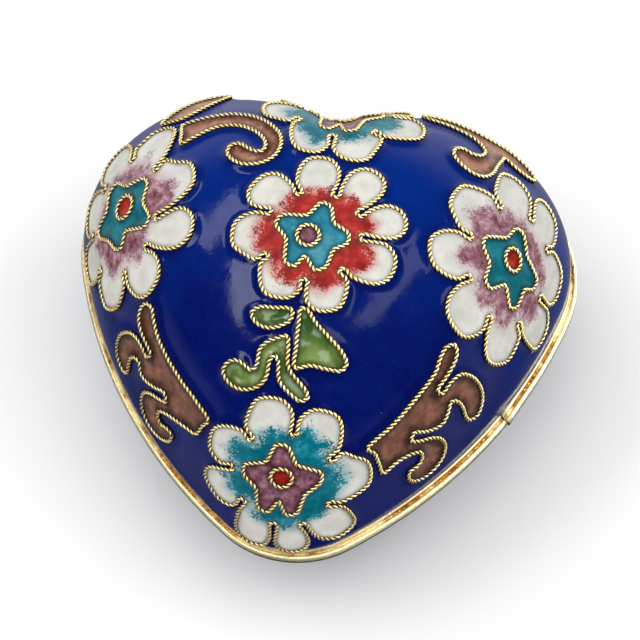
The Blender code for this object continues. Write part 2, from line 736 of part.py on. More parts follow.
def body_empty(name, z):
    empty = bpy.data.objects.new(name, None)
    empty.location = (LID_LIFT_AXIS[0] * MM, LID_LIFT_AXIS[1] * MM, z * MM)
    bpy.context.scene.collection.objects.link(empty)
    return empty


def build_base():
    base = body_empty("base", 0.0)
    stations = heart_stations()
    copper_depth = ENAMEL + LAYER_GAP
    counter_depth = copper_depth + COPPER + LAYER_GAP
    bowl_skin("base_ground_enamel", COBALT, base, stations, 0.0, ENAMEL)
    bowl_skin("base_copper_bowl", BARE_COPPER, base, stations, copper_depth, COPPER)
    bowl_skin("base_counter_enamel", PALE_BLUE, base, stations, counter_depth, COUNTER_ENAMEL)
    foot = (
        (FOOT_INSET + FOOT_THICK, 0.0),
        (FOOT_INSET, 0.0),
        (FOOT_INSET, FOOT_HEIGHT),
        (FOOT_INSET + FOOT_THICK, FOOT_HEIGHT),
    )
    hoop("foot_ring", GILT, base, stations, foot)
    hoop("base_rim_band", GILT, base, stations, [(i, PARTING_Z + z) for i, z in BASE_BAND])
    hoop("locating_lip", GILT, base, stations, [(i, PARTING_Z + z) for i, z in LIP])


def build_lid():
    lid = body_empty("lid", PARTING_Z)
    stations = heart_stations()
    copper_depth = ENAMEL + LAYER_GAP
    counter_depth = copper_depth + COPPER + LAYER_GAP
    lid_skin("lid_ground_enamel", COBALT, lid, stations, 0.0, ENAMEL)
    lid_skin(
        "lid_copper_shell", BARE_COPPER, lid, stations, copper_depth, COPPER, skirt=LID_SHELL_SKIRT
    )
    lid_skin(
        "lid_counter_enamel", PALE_BLUE, lid, stations, counter_depth, COUNTER_ENAMEL, LID_COUNTER_START
    )
    lid_band(lid)
    dome = fine_dome()
    for name, flower in FLOWERS.items():
        flower_pieces(f"flower_{name}", flower, dome, lid)
    for name, outline in OUTLINES.items():
        outline_pieces(name, outline, dome, lid)


def main():
    clear_scene()
    build_base()
    build_lid()


main()
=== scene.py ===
"""Looks of the heart-shaped enamelled trinket box with a lift-off domed lid.

The shapes follow the same formulas as the CAD part, drawn much finer, and each
piece stands for the CAD node it is named after.  Lengths are millimetres
unless a name says otherwise.  "Inset" is a distance inward from the outer edge
of the lid's gilt band.
"""

import json
import math

import bmesh
import bpy
import numpy as np
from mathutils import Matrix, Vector, kdtree, noise
from mathutils.bvhtree import BVHTree
from mathutils.geometry import delaunay_2d_cdt

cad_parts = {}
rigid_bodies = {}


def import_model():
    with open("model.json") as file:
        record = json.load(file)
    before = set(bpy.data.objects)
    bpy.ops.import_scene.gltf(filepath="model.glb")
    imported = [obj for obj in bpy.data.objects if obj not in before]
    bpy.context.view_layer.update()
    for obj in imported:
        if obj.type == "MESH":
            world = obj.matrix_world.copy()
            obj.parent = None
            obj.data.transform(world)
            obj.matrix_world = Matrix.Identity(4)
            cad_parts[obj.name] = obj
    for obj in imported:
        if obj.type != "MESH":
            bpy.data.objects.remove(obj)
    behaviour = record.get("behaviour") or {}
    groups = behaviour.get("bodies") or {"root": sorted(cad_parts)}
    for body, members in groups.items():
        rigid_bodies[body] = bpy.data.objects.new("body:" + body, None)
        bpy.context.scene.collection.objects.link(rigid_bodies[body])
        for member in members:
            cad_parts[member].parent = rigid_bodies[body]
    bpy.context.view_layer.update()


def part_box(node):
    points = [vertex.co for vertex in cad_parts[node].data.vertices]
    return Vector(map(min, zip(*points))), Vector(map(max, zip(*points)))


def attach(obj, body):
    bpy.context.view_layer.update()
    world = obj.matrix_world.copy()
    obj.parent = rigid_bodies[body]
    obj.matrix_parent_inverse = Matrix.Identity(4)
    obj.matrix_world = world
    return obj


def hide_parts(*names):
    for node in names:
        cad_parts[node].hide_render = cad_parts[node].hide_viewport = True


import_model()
MM = 0.001
UP = Vector((0.0, 0.0, 1.0))

# Outline of the heart, seen from above.
LOBE_RADIUS = 17.2
LOBE_X = 14.8
LOBE_Y = 12.5
TIP_RADIUS = 12.6
TIP_Y = -17.1
SIDE_BULGE = 2.0
NOTCH_RADIUS = 2.5
BODY_X = -0.25
ARC_STEPS = (3, 6, 9, 2)
SKIN_FACTOR = 13
RIM_FACTOR = 9

# Butt seam of the lid's band: place along the side's arc, gap, and how far one
# end stands proud and over what length.
SEAM_PLACE = 0.62
SEAM_GAP = 0.3
SEAM_STEP = 0.28
SEAM_REACH = 5.0

# Heights, with the rims' from the frame.
RIM_GAP = 0.15
RIM_DROP = 1.75
PARTING_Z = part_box("lid_rim_band")[0].z / MM - RIM_GAP
FOOT_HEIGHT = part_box("foot_ring")[1].z / MM

# Dome of the lid.
DOME_BASE = 2.25
DOME_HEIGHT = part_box("lid_ground_enamel")[1].z / MM - PARTING_Z - DOME_BASE
DOME_INSET = 0.7
DOME_RUN = 2.3
DOME_ROUND = 2.1
DOME_BLEND = 0.7
CROWN_Y = 4.0
DOME_RINGS = 150
PLAIN_RINGS = 36
INNER_RINGS = 10
CALM_RINGS = 12

# Wall thicknesses, from outside to inside.
ENAMEL = 0.6
COPPER = 0.8
COUNTER_ENAMEL = 0.5
LAYER_GAP = 0.2
COPPER_DEPTH = ENAMEL + LAYER_GAP
COUNTER_DEPTH = COPPER_DEPTH + COPPER + LAYER_GAP
COUNTER_START = 6.0

# Bowl: inset and depth below its rim, from the rim to the edge of the floor.
BOWL_PROFILE = (
    (1.6, 0.0), (2.25, 1.5), (3.2, 3.4), (4.5, 5.6), (6.2, 7.8), (8.2, 9.7), (10.2, 11.0),
)
BOWL_STEPS = 31
FOOT_INSET = 10.5
FOOT_THICK = 1.0
FOOT_ROUND = 0.25

# Sections of the rims: inset and height above the parting plane.
LID_BAND = (
    (1.2, 0.15), (0.25, 0.15), (0.08, 0.2), (0.0, 0.38), (-0.03, 0.62), (-0.03, 0.95),
    (0.0, 1.16), (0.08, 1.34), (0.2, 1.44), (0.34, 1.44), (0.45, 1.37), (0.54, 1.33),
    (0.63, 1.38), (0.68, 1.52), (0.7, 1.74), (0.72, 1.92), (0.78, 2.06), (0.88, 2.11),
    (0.98, 2.08), (1.2, 2.05),
)
BASE_BAND = (
    (2.4, -1.5), (1.8, -1.5), (1.65, -1.4), (1.58, -1.15), (1.56, -0.82), (1.58, -0.5),
    (1.65, -0.25), (1.8, -0.15), (2.4, -0.15),
)
LIP = (
    (3.35, -1.5), (2.65, -1.5), (2.65, 2.2), (2.72, 2.45), (2.9, 2.6), (3.1, 2.6), (3.28, 2.45),
    (3.35, 2.2),
)

# Lid's band: its depth, and the length of its rub marks' step from point to point.
LID_BAND_DEPTH = 1.2
RUB_STEP = 0.35

# Parts of the lid's band coloured darker: its ledge, by inset and height, in dull orange,
# and its foot, by height, in painted shade under the rim.
LEDGE_FROM = 0.42
LEDGE_TO = 0.71
LEDGE_TOP = 1.8
FOOT_TOP = 0.7

# Twisted wires.
STRANDS = 2
STRAND_RADIUS = 0.16
STRAND_OFFSET = 0.145
TWIST_PITCH = 1.28
WIRE_STEP = 0.125
WIRE_SIDES = 7
WIRE_LIFT = 0.43
WOBBLE = 0.05
WOBBLE_SCALE = 0.55
WOBBLE_SEED = 7
SPAN_STEPS = 16
LEAST_POINTS = 12

# Enamel in and round the wires.
CELL_STEP = 3
CELL_GRID = 0.33
CELL_CLEAR = 0.24
WALL_HALF = 0.2
CELL_HIGH = 0.42
PETAL_LOW = 0.2
PETAL_RUN = 0.75
DEEP_LOW = 0.06
DEEP_RUN = 0.95
DISH_SHAPE = 1.4
MENISCUS = 0.24
MENISCUS_RUN = 0.5
MENISCUS_SHAPE = 1.7
SWELL = 0.02
SWELL_SCALE = 0.16
FAR_FROM_WIRES = 9.0

# Outlines of the flowers' petals and stars.
VALLEY_HALF = 0.36
VALLEY_NECK = 0.3
PETAL_SHOULDER = 0.66
PETAL_CHEEK = 0.92
PETAL_CHEEK_WIDTH = 0.64
STAR_TIP_HALF = 0.72
STAR_TIP_ROUND = 0.62
STAR_BAY_ROUND = 0.4
CORNER_STEPS = 6
RING_POINTS = 24

# Brushed colour inside the petals: how far it reaches between two petals as a
# share of the valley's distance, and the stretch of its streaks round and along.
TINT_PINCH = {"red": 1.06, "teal": 0.98, "mauve": 0.84}
NO_TINT = 6.0
STREAK_ROUND = 9.0
STREAK_ALONG = 0.8
STREAK_HEART = 0.3

# Enamel of the star and the middle of a flower, by the shade of its petals.
STAR_LOOK = {"red": "sky", "teal": "mauve", "mauve": "teal"}
MIDDLE_LOOK = {"red": "mauve", "teal": "red", "mauve": "red"}
ROSE_SCROLLS = ("scroll_back_left", "scroll_far_left", "scroll_back_right")
LEAF_STEM = (-0.5, -9.2, 42.0)

# Floor, and lights as azimuth, elevation, width, height, power and roll about the
# beam, in metres and degrees.
FLOOR_SIZE = 6.0
FLOOR_TONES = (249.3, 252.7)
WORLD_DIM = 0.06
LOOK_AT = (BODY_X * MM, 0.0, 0.0245)
LIGHT_DISTANCE = 0.7
SOFTBOXES = {
    "left softbox": (-75, 56, 0.31, 0.12, 0.6, -31),
    "rear softbox": (-122, 47, 0.38, 0.1, 0.42, -14),
    "right softbox": (98, 58, 0.52, 0.12, 0.4, -22),
}
FILLS = {
    "overhead fill": (-40, 74, 1.6, 1.6, 9.8, 0),
    "right fill": (80, 34, 1.0, 0.8, 2.2, 0),
}
GILT_LIGHTS = {
    "gilt top light": (-30, 60, 1.4, 1.4, 8.5, 0),
    "gilt side light": (110, 22, 1.0, 1.0, 9.0, 0),
}

# Camera, in the same units, with its lens and sensor in millimetres.
VIEW_AZIMUTH = 7.6
VIEW_ELEVATION = 60.0
VIEW_DISTANCE = 0.4
LENS = 181.1
SENSOR = 36.0
SHIFT = 0.0094
NEAR_CLIP = 0.01

# Flowers.  "plan" is the place on the lid where the flower's own plane touches
# the dome, and "heart" is the flower's middle in that plane.  A petal is its
# angle, reach and half width, and a valley is where two petals' wires end:
# its angle and distance from the middle.  "tint" is how far the inner colour
# reaches along each petal.  A star point is angle and reach, and
# a star bay is the angle and distance of the corner between two points.
FLOWERS = {
    "centre": {
        "plan": (0.0, -0.5),
        "heart": (-0.65, 0.1),
        "ring": 1.35,
        "petals": ((20, 11.8, 2.15), (55, 12.1, 2.25), (90, 11.1, 2.35), (137, 9.9, 2.55),
                   (183, 9.0, 2.45), (252, 8.4, 2.35), (291, 9.6, 2.25), (346, 10.8, 2.55)),
        "valleys": ((6, 6.3), (33, 6.6), (66, 6.2), (108, 5.8),
                    (151, 5.6), (213, 5.4), (273, 5.7), (319, 5.9)),
        "tint": (8.2, 7.0, 6.1, 4.9, 6.2, 5.7, 6.9, 8.3),
        "star": ((3, 4.9), (70, 4.8), (155, 4.3), (247, 4.4), (295, 4.7)),
        "bays": ((-23, 3.5), (35, 3.4), (99, 2.6), (197, 2.6), (271, 2.6)),
        "shade": "red",
    },
    "front": {
        "plan": (0.0, -25.3),
        "heart": (-0.5, 0.0),
        "ring": 1.25,
        "petals": ((2, 10.1, 2.65), (63, 9.7, 2.45), (103, 9.8, 2.45), (166, 9.2, 2.45),
                   (210, 9.9, 2.55), (255, 12.0, 2.15), (279, 12.0, 2.05), (312, 11.8, 2.35)),
        "valleys": ((-32, 6.6), (27, 6.0), (81, 5.8), (133, 5.8),
                    (183, 5.9), (226, 6.2), (266, 7.0), (293, 7.2)),
        "tint": (7.4, 6.5, 5.4, 6.8, 7.4, 7.3, 7.7, 6.9),
        "star": ((6, 4.7), (94, 4.4), (179, 4.6), (250, 5.6), (286, 5.5)),
        "bays": ((-37, 3.5), (51, 2.5), (137, 2.6), (216, 3.5), (268, 3.2)),
        "shade": "teal",
    },
    "right": {
        "plan": (23.5, 5.0),
        "heart": (0.0, -0.4),
        "ring": 1.4,
        "petals": ((11, 11.5, 2.65), (60, 12.3, 2.45), (94, 11.4, 2.65), (154, 10.4, 2.95),
                   (201, 12.0, 2.65), (245, 12.6, 2.95), (291, 12.3, 3.05), (342, 12.8, 2.45)),
        "valleys": ((-10, 7.2), (38, 7.3), (73, 6.9), (119, 6.4),
                    (183, 6.7), (223, 7.6), (265, 8.0), (308, 7.6)),
        "tint": (7.0, 5.8, 5.6, 7.4, 8.3, 7.6, 8.0, 8.5),
        "star": ((-6, 5.4), (88, 4.2), (180, 5.0), (239, 5.7), (296, 5.8)),
        "bays": ((-33, 4.0), (36, 2.7), (131, 2.7), (215, 4.1), (267, 3.4)),
        "shade": "mauve",
    },
    "left": {
        "plan": (-23.5, 5.0),
        "heart": (-0.5, 1.0),
        "ring": 1.5,
        "petals": ((11, 10.2, 2.75), (74, 11.2, 2.65), (121, 11.6, 2.65), (166, 10.4, 2.65),
                   (197, 12.3, 2.45), (246, 12.2, 2.95), (291, 12.8, 2.65), (332, 12.2, 2.55)),
        "valleys": ((-30, 6.5), (41, 5.7), (94, 6.9), (138, 6.8),
                    (184, 8.0), (222, 8.4), (268, 8.4), (302, 7.7)),
        "tint": (7.0, 6.4, 6.6, 6.4, 8.0, 8.0, 8.2, 7.6),
        "star": ((-39, 5.7), (36, 4.3), (127, 5.0), (191, 6.1), (258, 5.3)),
        "bays": ((-83, 3.3), (-10, 3.4), (90, 2.8), (166, 4.0), (224, 4.6)),
        "shade": "mauve",
    },
    "back": {
        "plan": (1.4, 18.3),
        "heart": (-0.4, 2.2),
        "ring": 1.3,
        "petals": ((-3, 9.8, 2.6), (38, 8.3, 2.2), (72, 9.0, 2.2), (110, 9.4, 2.2),
                   (150, 9.6, 2.3), (197, 10.1, 2.5), (255, 10.3, 2.25), (287, 10.1, 2.45)),
        "valleys": ((-43, 6.1), (16, 5.9), (54, 5.9), (92, 5.9),
                    (130, 5.9), (174, 6.0), (221, 6.5), (268, 6.4)),
        "tint": (6.4, 5.8, 5.8, 5.6, 5.8, 7.4, 8.4, 6.4),
        "star": ((15, 4.7), (92, 4.6), (171, 4.7), (251, 5.3), (289, 5.2)),
        "bays": ((-27, 3.1), (53, 2.7), (131, 2.7), (212, 3.2), (270, 3.0)),
        "shade": "teal",
    },
}

# Scrolls and leaves: the line of each one's wire in its own plane, which
# touches the dome at "plan".
OUTLINES = {
    "scroll_front_right": {
        "plan": (15.3, -15.4),
        "line": ((-3.5, -7.5), (-3.1, -3.5), (-2.9, 0.5), (-2.8, 4.6), (-3.4, 6.4), (-3.4, 7.8),
                 (-2.6, 8.6), (-1.7, 8.1), (-1.2, 6.9), (-1.1, 5.0), (-1.0, 3.2), (-0.1, 3.2),
                 (0.0, 4.8), (0.6, 6.3), (1.9, 7.0), (4.0, 7.2), (6.0, 6.7), (7.7, 5.6), (8.4, 4.2),
                 (7.7, 3.2), (6.4, 3.1), (4.9, 3.6), (3.3, 3.8), (2.1, 3.3), (2.8, 2.0), (3.3, 0.7),
                 (2.6, -0.7), (1.4, -1.7), (0.3, -2.5), (0.9, -3.4), (2.1, -2.7), (3.5, -1.5),
                 (5.2, -0.9), (7.0, -1.2), (8.3, -2.4), (8.7, -4.0), (8.3, -5.6), (7.1, -6.8),
                 (5.7, -7.0), (4.8, -6.3), (5.1, -5.1), (4.8, -4.1), (3.7, -3.7), (2.7, -4.4),
                 (1.9, -5.5), (1.4, -7.0), (1.1, -8.5), (-0.7, -7.9), (-2.2, -7.4)),
    },
    "scroll_front_left": {
        "plan": (-15.6, -14.6),
        "line": ((3.2, -7.0), (2.8, -4.0), (2.0, -1.0), (1.4, 2.0), (1.1, 5.0), (1.3, 6.9), (1.5, 8.2),
                 (0.7, 9.0), (-0.4, 8.9), (-1.3, 8.0), (-1.6, 6.6), (-1.4, 5.0), (-1.3, 3.4),
                 (-2.3, 3.4), (-2.5, 4.8), (-3.1, 6.2), (-4.3, 7.2), (-6.3, 7.6), (-8.2, 7.2),
                 (-9.6, 6.2), (-10.1, 4.8), (-9.7, 3.7), (-8.6, 3.3), (-7.4, 3.9), (-6.2, 4.4),
                 (-5.0, 4.2), (-4.4, 3.4), (-5.0, 2.1), (-4.5, 1.0), (-3.3, -0.2), (-1.8, -1.5),
                 (-2.3, -2.5), (-3.6, -1.6), (-4.8, -0.6), (-6.3, -0.1), (-8.0, -0.6), (-9.2, -1.8),
                 (-9.5, -3.4), (-8.8, -4.9), (-7.5, -6.1), (-5.9, -6.7), (-4.7, -6.2), (-5.0, -5.2),
                 (-5.9, -4.3), (-5.7, -3.4), (-4.7, -3.0), (-3.6, -3.6), (-2.3, -4.9), (-1.0, -6.4),
                 (0.2, -7.7), (1.8, -7.3)),
    },
    "scroll_back_left": {
        "plan": (-13.0, 15.0),
        "line": ((-6.1, 2.3), (-4.3, 2.8), (-2.0, 3.2), (0.0, 3.3), (2.0, 3.0), (4.0, 2.2), (5.8, 0.9),
                 (7.2, -0.8), (7.7, -2.7), (7.3, -4.4), (6.0, -5.6), (4.0, -6.0), (2.3, -5.3),
                 (1.4, -4.1), (1.6, -3.0), (2.6, -2.7), (3.7, -3.3), (4.8, -3.9), (5.7, -3.8),
                 (5.9, -2.9), (5.5, -1.9), (4.3, -0.6), (2.7, 0.3), (1.0, 0.8), (-0.7, 0.7),
                 (-2.3, 0.0), (-4.0, -1.0), (-5.2, -1.6), (-5.7, 0.3)),
    },
    "scroll_far_left": {
        "plan": (-13.0, 15.0),
        "line": ((-9.9, 4.5), (-9.4, 6.2), (-8.3, 8.2), (-6.9, 10.0), (-5.3, 11.3), (-3.7, 11.5),
                 (-2.7, 10.4), (-2.9, 8.6), (-3.9, 6.8), (-5.2, 5.2), (-6.7, 4.1), (-8.4, 4.1)),
    },
    "scroll_back_right": {
        "plan": (17.0, 18.0),
        "line": ((2.8, -2.9), (1.5, -4.3), (0.0, -4.6), (-1.6, -3.9), (-2.6, -2.4), (-2.3, -1.1),
                 (-1.2, -0.6), (0.0, -1.0), (1.2, -0.6), (2.0, 0.6), (1.8, 1.9), (0.9, 3.0),
                 (-0.7, 3.9), (-3.0, 4.8), (-4.4, 5.2), (-5.0, 5.9), (-4.8, 6.7), (-3.8, 7.1),
                 (-1.8, 6.9), (0.6, 6.3), (2.6, 5.7), (4.2, 5.3),
                 (6.2, 5.2), (8.2, 4.5), (9.8, 3.3), (10.2, 2.1), (9.4, 1.2), (8.0, 0.9),
                 (6.5, 1.1), (5.2, 1.8), (4.4, 0.5), (3.6, -1.1)),
    },
    "leaf_right": {
        "plan": (-0.9, -13.9),
        "line": ((0.7, -2.0), (2.4, -1.6), (4.4, -1.8), (6.0, -1.8), (6.5, -0.9), (5.9, 0.3),
                 (4.7, 1.5), (3.3, 2.8), (2.3, 3.8), (1.6, 4.8), (0.8, 5.0), (0.6, 3.0), (0.6, 0.5)),
    },
    "leaf_left": {
        "plan": (-0.9, -13.9),
        "line": ((-0.3, 4.7), (-2.4, 4.8), (-4.2, 4.7), (-5.0, 4.1), (-4.8, 3.3), (-3.9, 2.6),
                 (-2.6, 2.4), (-1.3, 2.8), (-0.35, 3.5)),
    },
    "leaf_forked": {
        "plan": (-0.9, -13.9),
        "line": ((-0.5, 1.6), (-1.6, 1.3), (-2.8, 0.7), (-3.6, -0.2), (-3.7, -1.3), (-3.8, -2.2),
                 (-4.4, -2.7), (-5.2, -2.2), (-6.1, -1.7), (-7.0, -1.8), (-7.7, -2.5), (-7.8, -3.3),
                 (-7.2, -4.2), (-6.0, -4.9), (-4.6, -5.0), (-3.4, -4.5), (-2.6, -3.5), (-2.4, -2.3),
                 (-2.3, -1.4), (-1.8, -0.8), (-1.3, -1.4), (-1.2, -2.7), (-0.9, -3.8), (-0.2, -4.6),
                 (0.7, -5.3), (1.6, -5.8), (2.4, -5.4), (2.2, -4.6), (1.2, -3.5), (0.3, -2.6),
                 (-0.2, -1.4), (-0.3, 0.2)),
    },
}


# Plan outline ---------------------------------------------------------------


def angle_of(vector):
    return math.atan2(vector.y, vector.x)


def heart_arcs():
    """Centre, radius, start and end angle of each arc from the tip to the notch."""
    lobe = Vector((LOBE_X, LOBE_Y))
    tip = Vector((0.0, TIP_Y))
    span = (lobe - tip).length
    side_radius = SIDE_BULGE * span
    to_lobe = side_radius - LOBE_RADIUS
    to_tip = side_radius - TIP_RADIUS
    along = (tip - lobe) / span
    reach = (to_lobe ** 2 - to_tip ** 2 + span ** 2) / (2 * span)
    across = math.sqrt(to_lobe ** 2 - reach ** 2)
    side = lobe + along * reach + Vector((along.y, -along.x)) * across
    notch_y = LOBE_Y + math.sqrt((LOBE_RADIUS + NOTCH_RADIUS) ** 2 - LOBE_X ** 2)
    notch = Vector((0.0, notch_y))
    tip_end = angle_of(tip - side)
    lobe_start = angle_of(lobe - side)
    lobe_end = angle_of(notch - lobe)
    notch_start = angle_of(lobe - notch)
    return (
        (tip, TIP_RADIUS, -math.pi / 2, tip_end),
        (side, side_radius, tip_end, lobe_start),
        (lobe, LOBE_RADIUS, lobe_start, lobe_end),
        (notch, -NOTCH_RADIUS, notch_start, -math.pi / 2),
    )


def station(arc, fraction):
    """Point on an arc and the outward normal there."""
    centre, radius, start, end = arc
    turn = start + (end - start) * fraction
    ray = Vector((math.cos(turn), math.sin(turn)))
    normal = ray if radius > 0 else -ray
    return centre + ray * abs(radius), normal


def heart_stations(factor):
    """Points and normals round the whole heart, anticlockwise from the tip."""
    right = []
    for arc, steps in zip(heart_arcs(), ARC_STEPS):
        count = steps * factor
        right += [station(arc, i / count) for i in range(count)]
    notch = station(heart_arcs()[-1], 1.0)
    left = [(Vector((-p.x, p.y)), Vector((-n.x, n.y))) for p, n in right[:0:-1]]
    return right + [notch] + left


def heart_loop(stations, inset):
    """Plan points of the heart moved inward, one row for each station."""
    return np.array([tuple(point - normal * inset) for point, normal in stations])


def raised(loop, z):
    """Plan points set at a height, in the frame's own place."""
    heights = np.full(len(loop), z)
    return np.column_stack((loop[:, 0] + BODY_X, loop[:, 1], heights))


def heart_rows(stations, section):
    """Loops of points round the heart, one for each inset and height of a section."""
    return [raised(heart_loop(stations, inset), z) for inset, z in section]


def unit(rows):
    return rows / np.linalg.norm(rows, axis=-1, keepdims=True)


# Surfaces -------------------------------------------------------------------


def dome_grid(stations, depth, count, start=0.0):
    """Loops of points from the rim to near the crown, depth below the outer face."""
    crown = np.array((0.0, CROWN_Y))
    arms = heart_loop(stations, DOME_INSET + depth) - crown
    half_x = np.abs(arms[:, 0]).max()
    half_y = np.ptp(arms[:, 1]) / 2
    length = np.hypot(arms[:, 0], arms[:, 1])
    rays = arms / length[:, None]
    size = half_x * half_y / np.hypot(half_y * rays[:, 0], half_x * rays[:, 1])
    ovals = rays * size[:, None]
    first = math.radians(start)
    height = DOME_HEIGHT - depth
    loops = []
    for step in range(count):
        reach = math.cos(first + (math.pi / 2 - first) * step / count)
        blend = (1 - reach) ** DOME_BLEND
        z = PARTING_Z + DOME_BASE + height * (1 - reach ** DOME_RUN) ** (1 / DOME_ROUND)
        loops.append(raised(crown + (arms * (1 - blend) + ovals * blend) * reach, z))
    return np.array(loops)


def crown_point(depth):
    return np.array((BODY_X, CROWN_Y, PARTING_Z + DOME_BASE + DOME_HEIGHT - depth))


def grid_normals(loops, pole):
    """Outward unit normals of a grid of loops that closes on a pole."""
    padded = np.concatenate((loops, np.broadcast_to(pole, loops[:1].shape)))
    round_way = np.roll(loops, -1, axis=1) - np.roll(loops, 1, axis=1)
    upward = np.gradient(padded, axis=0)[:-1]
    return unit(np.cross(round_way, upward))


def ring_faces(rows, count, closed_rows=False):
    """Quads of a grid of closed loops, each loop of the given count."""
    faces = []
    last = rows if closed_rows else rows - 1
    for row in range(last):
        low = row * count
        high = (row + 1) % rows * count
        for i in range(count):
            j = (i + 1) % count
            faces.append((low + i, low + j, high + j, high + i))
    return faces


def pole_faces(first, count, pole):
    """Triangles from a loop, which starts at the first point, to a pole."""
    return [(first + i, first + (i + 1) % count, pole) for i in range(count)]


# Placing flat outlines on the dome ------------------------------------------


def dome_tree(loops):
    """The dome's outer face, ready for rays to be cast at it."""
    points = [Vector(p) for p in loops.reshape(-1, 3)] + [Vector(crown_point(0.0))]
    rows, count = loops.shape[:2]
    faces = ring_faces(rows, count)
    faces += pole_faces((rows - 1) * count, count, len(points) - 1)
    return BVHTree.FromPolygons(points, faces)


class Patch:
    """A plane that touches the dome, and the way back from it to the dome."""

    def __init__(self, dome, plan):
        self.dome = dome
        high = Vector((plan[0] + BODY_X, plan[1], PARTING_Z + 2 * DOME_HEIGHT))
        self.origin, self.normal = dome.ray_cast(high, -UP)[:2]
        self.up = (Vector((0.0, 1.0, 0.0)) - self.normal * self.normal.y).normalized()
        self.right = self.up.cross(self.normal)

    def place(self, flat):
        """Points on the dome behind flat points, and the dome's normals there."""
        points = []
        normals = []
        for x, y in flat:
            aim = self.origin + self.right * x + self.up * y + self.normal * DOME_HEIGHT
            hit, normal = self.dome.ray_cast(aim, -self.normal)[:2]
            points.append(hit)
            normals.append(normal)
        return np.array(points), np.array(normals)


# Flat outlines --------------------------------------------------------------


def polar(middle, degrees, distance):
    """Flat point at an angle and a distance from a middle."""
    turn = math.radians(degrees)
    return Vector((middle[0] + distance * math.cos(turn), middle[1] + distance * math.sin(turn)))


def keep_off(point, corner, ray, side):
    """Push a point sideways so that it stays on its own side of a valley's line."""
    across = Vector((-ray.y, ray.x)) * side
    gap = (point - corner).dot(across)
    return point + across * max(VALLEY_HALF - gap, 0.0)


def half_petal(corner, ray, root, axis, across):
    """One side of a petal, from its valley's corner up to its cheek."""
    neck = VALLEY_NECK * axis.length
    return [
        corner.copy(),
        corner + ray * neck,
        root + axis * PETAL_SHOULDER + across,
        root + axis * PETAL_CHEEK + across * PETAL_CHEEK_WIDTH,
    ]


def petal_line(flower):
    """The wire's line round all petals, anticlockwise, dipping into each valley."""
    middle = flower["heart"]
    petals = flower["petals"]
    tips = [polar(middle, angle, reach) for angle, reach, _ in petals]
    corners = [polar(middle, angle, reach) for angle, reach in flower["valleys"]]
    count = len(petals)
    rays = [((tips[i - 1] + tips[i]) / 2 - corners[i]).normalized() for i in range(count)]
    line = []
    for i in range(count):
        j = (i + 1) % count
        root = (corners[i] + corners[j]) / 2
        axis = tips[i] - root
        across = Vector((-axis.y, axis.x)).normalized() * petals[i][2]
        first = half_petal(corners[i], rays[i], root, axis, -across)
        second = half_petal(corners[j], rays[j], root, axis, across)
        line += [keep_off(p, corners[i], rays[i], 1) for p in first]
        line.append(tips[i])
        line += [keep_off(p, corners[j], rays[j], -1) for p in second[::-1]]
    return np.array([tuple(p) for p in line])


def star_line(flower):
    """The wire's line round the star, with each corner rounded."""
    middle = flower["heart"]
    corners = []
    rounds = []
    for (angle, reach), (bay_angle, bay_reach) in zip(flower["star"], flower["bays"]):
        spread = math.degrees(STAR_TIP_HALF / reach)
        corners.append(polar(middle, bay_angle, bay_reach))
        corners.append(polar(middle, angle - spread, reach))
        corners.append(polar(middle, angle + spread, reach))
        rounds += [STAR_BAY_ROUND, STAR_TIP_ROUND, STAR_TIP_ROUND]
    line = []
    for i, corner in enumerate(corners):
        before = corners[i - 1] - corner
        after = corners[(i + 1) % len(corners)] - corner
        start = corner + before.normalized() * rounds[i]
        end = corner + after.normalized() * rounds[i]
        for step in range(CORNER_STEPS + 1):
            t = step / CORNER_STEPS
            line.append(start * (1 - t) ** 2 + corner * 2 * t * (1 - t) + end * t ** 2)
    return np.array([tuple(p) for p in line])


def ring_line(flower):
    turns = [360.0 * i / RING_POINTS for i in range(RING_POINTS)]
    return np.array([tuple(polar(flower["heart"], turn, flower["ring"])) for turn in turns])


def smooth(line):
    """Centripetal Catmull-Rom curve through a closed line's points."""
    curve = []
    count = len(line)
    for i in range(count):
        a, b, c, d = (line[(i + k) % count] for k in (-1, 0, 1, 2))
        t1 = math.dist(a, b) ** 0.5
        t2 = t1 + math.dist(b, c) ** 0.5
        t3 = t2 + math.dist(c, d) ** 0.5
        for step in range(SPAN_STEPS):
            t = t1 + (t2 - t1) * step / SPAN_STEPS
            a1 = (a * (t1 - t) + b * t) / t1
            a2 = (b * (t2 - t) + c * (t - t1)) / (t2 - t1)
            a3 = (c * (t3 - t) + d * (t - t2)) / (t3 - t2)
            b1 = (a1 * (t2 - t) + a2 * t) / t2
            b2 = (a2 * (t3 - t) + a3 * (t - t1)) / (t3 - t1)
            curve.append((b1 * (t2 - t) + b2 * (t - t1)) / (t2 - t1))
    return np.array(curve)


def even(line):
    """A closed line's points set again at equal steps along it."""
    loop = np.concatenate((line, line[:1]))
    gaps = np.linalg.norm(np.diff(loop, axis=0), axis=1)
    along = np.concatenate(([0.0], np.cumsum(gaps)))
    count = max(round(along[-1] / WIRE_STEP), LEAST_POINTS)
    places = np.linspace(0.0, along[-1], count, endpoint=False)
    return np.column_stack([np.interp(places, along, loop[:, k]) for k in range(line.shape[1])])


def handmade(line, seed):
    """Even points along a line, with the slight wander of a wire bent by hand."""
    line = even(line)
    moved = line.copy()
    for i, (x, y) in enumerate(line):
        place = Vector((x * WOBBLE_SCALE, y * WOBBLE_SCALE, seed))
        moved[i] += np.array(noise.noise_vector(place)[:2]) * WOBBLE
    return moved


def inside(points, line):
    """Which flat points lie within a closed line."""
    after = np.roll(line, -1, axis=0)
    hits = np.zeros(len(points), dtype=int)
    for (ax, ay), (bx, by) in zip(line, after):
        if ay == by:
            continue
        spans = (ay > points[:, 1]) != (by > points[:, 1])
        cross = ax + (points[:, 1] - ay) * (bx - ax) / (by - ay)
        hits += spans & (points[:, 0] < cross)
    return hits % 2 == 1


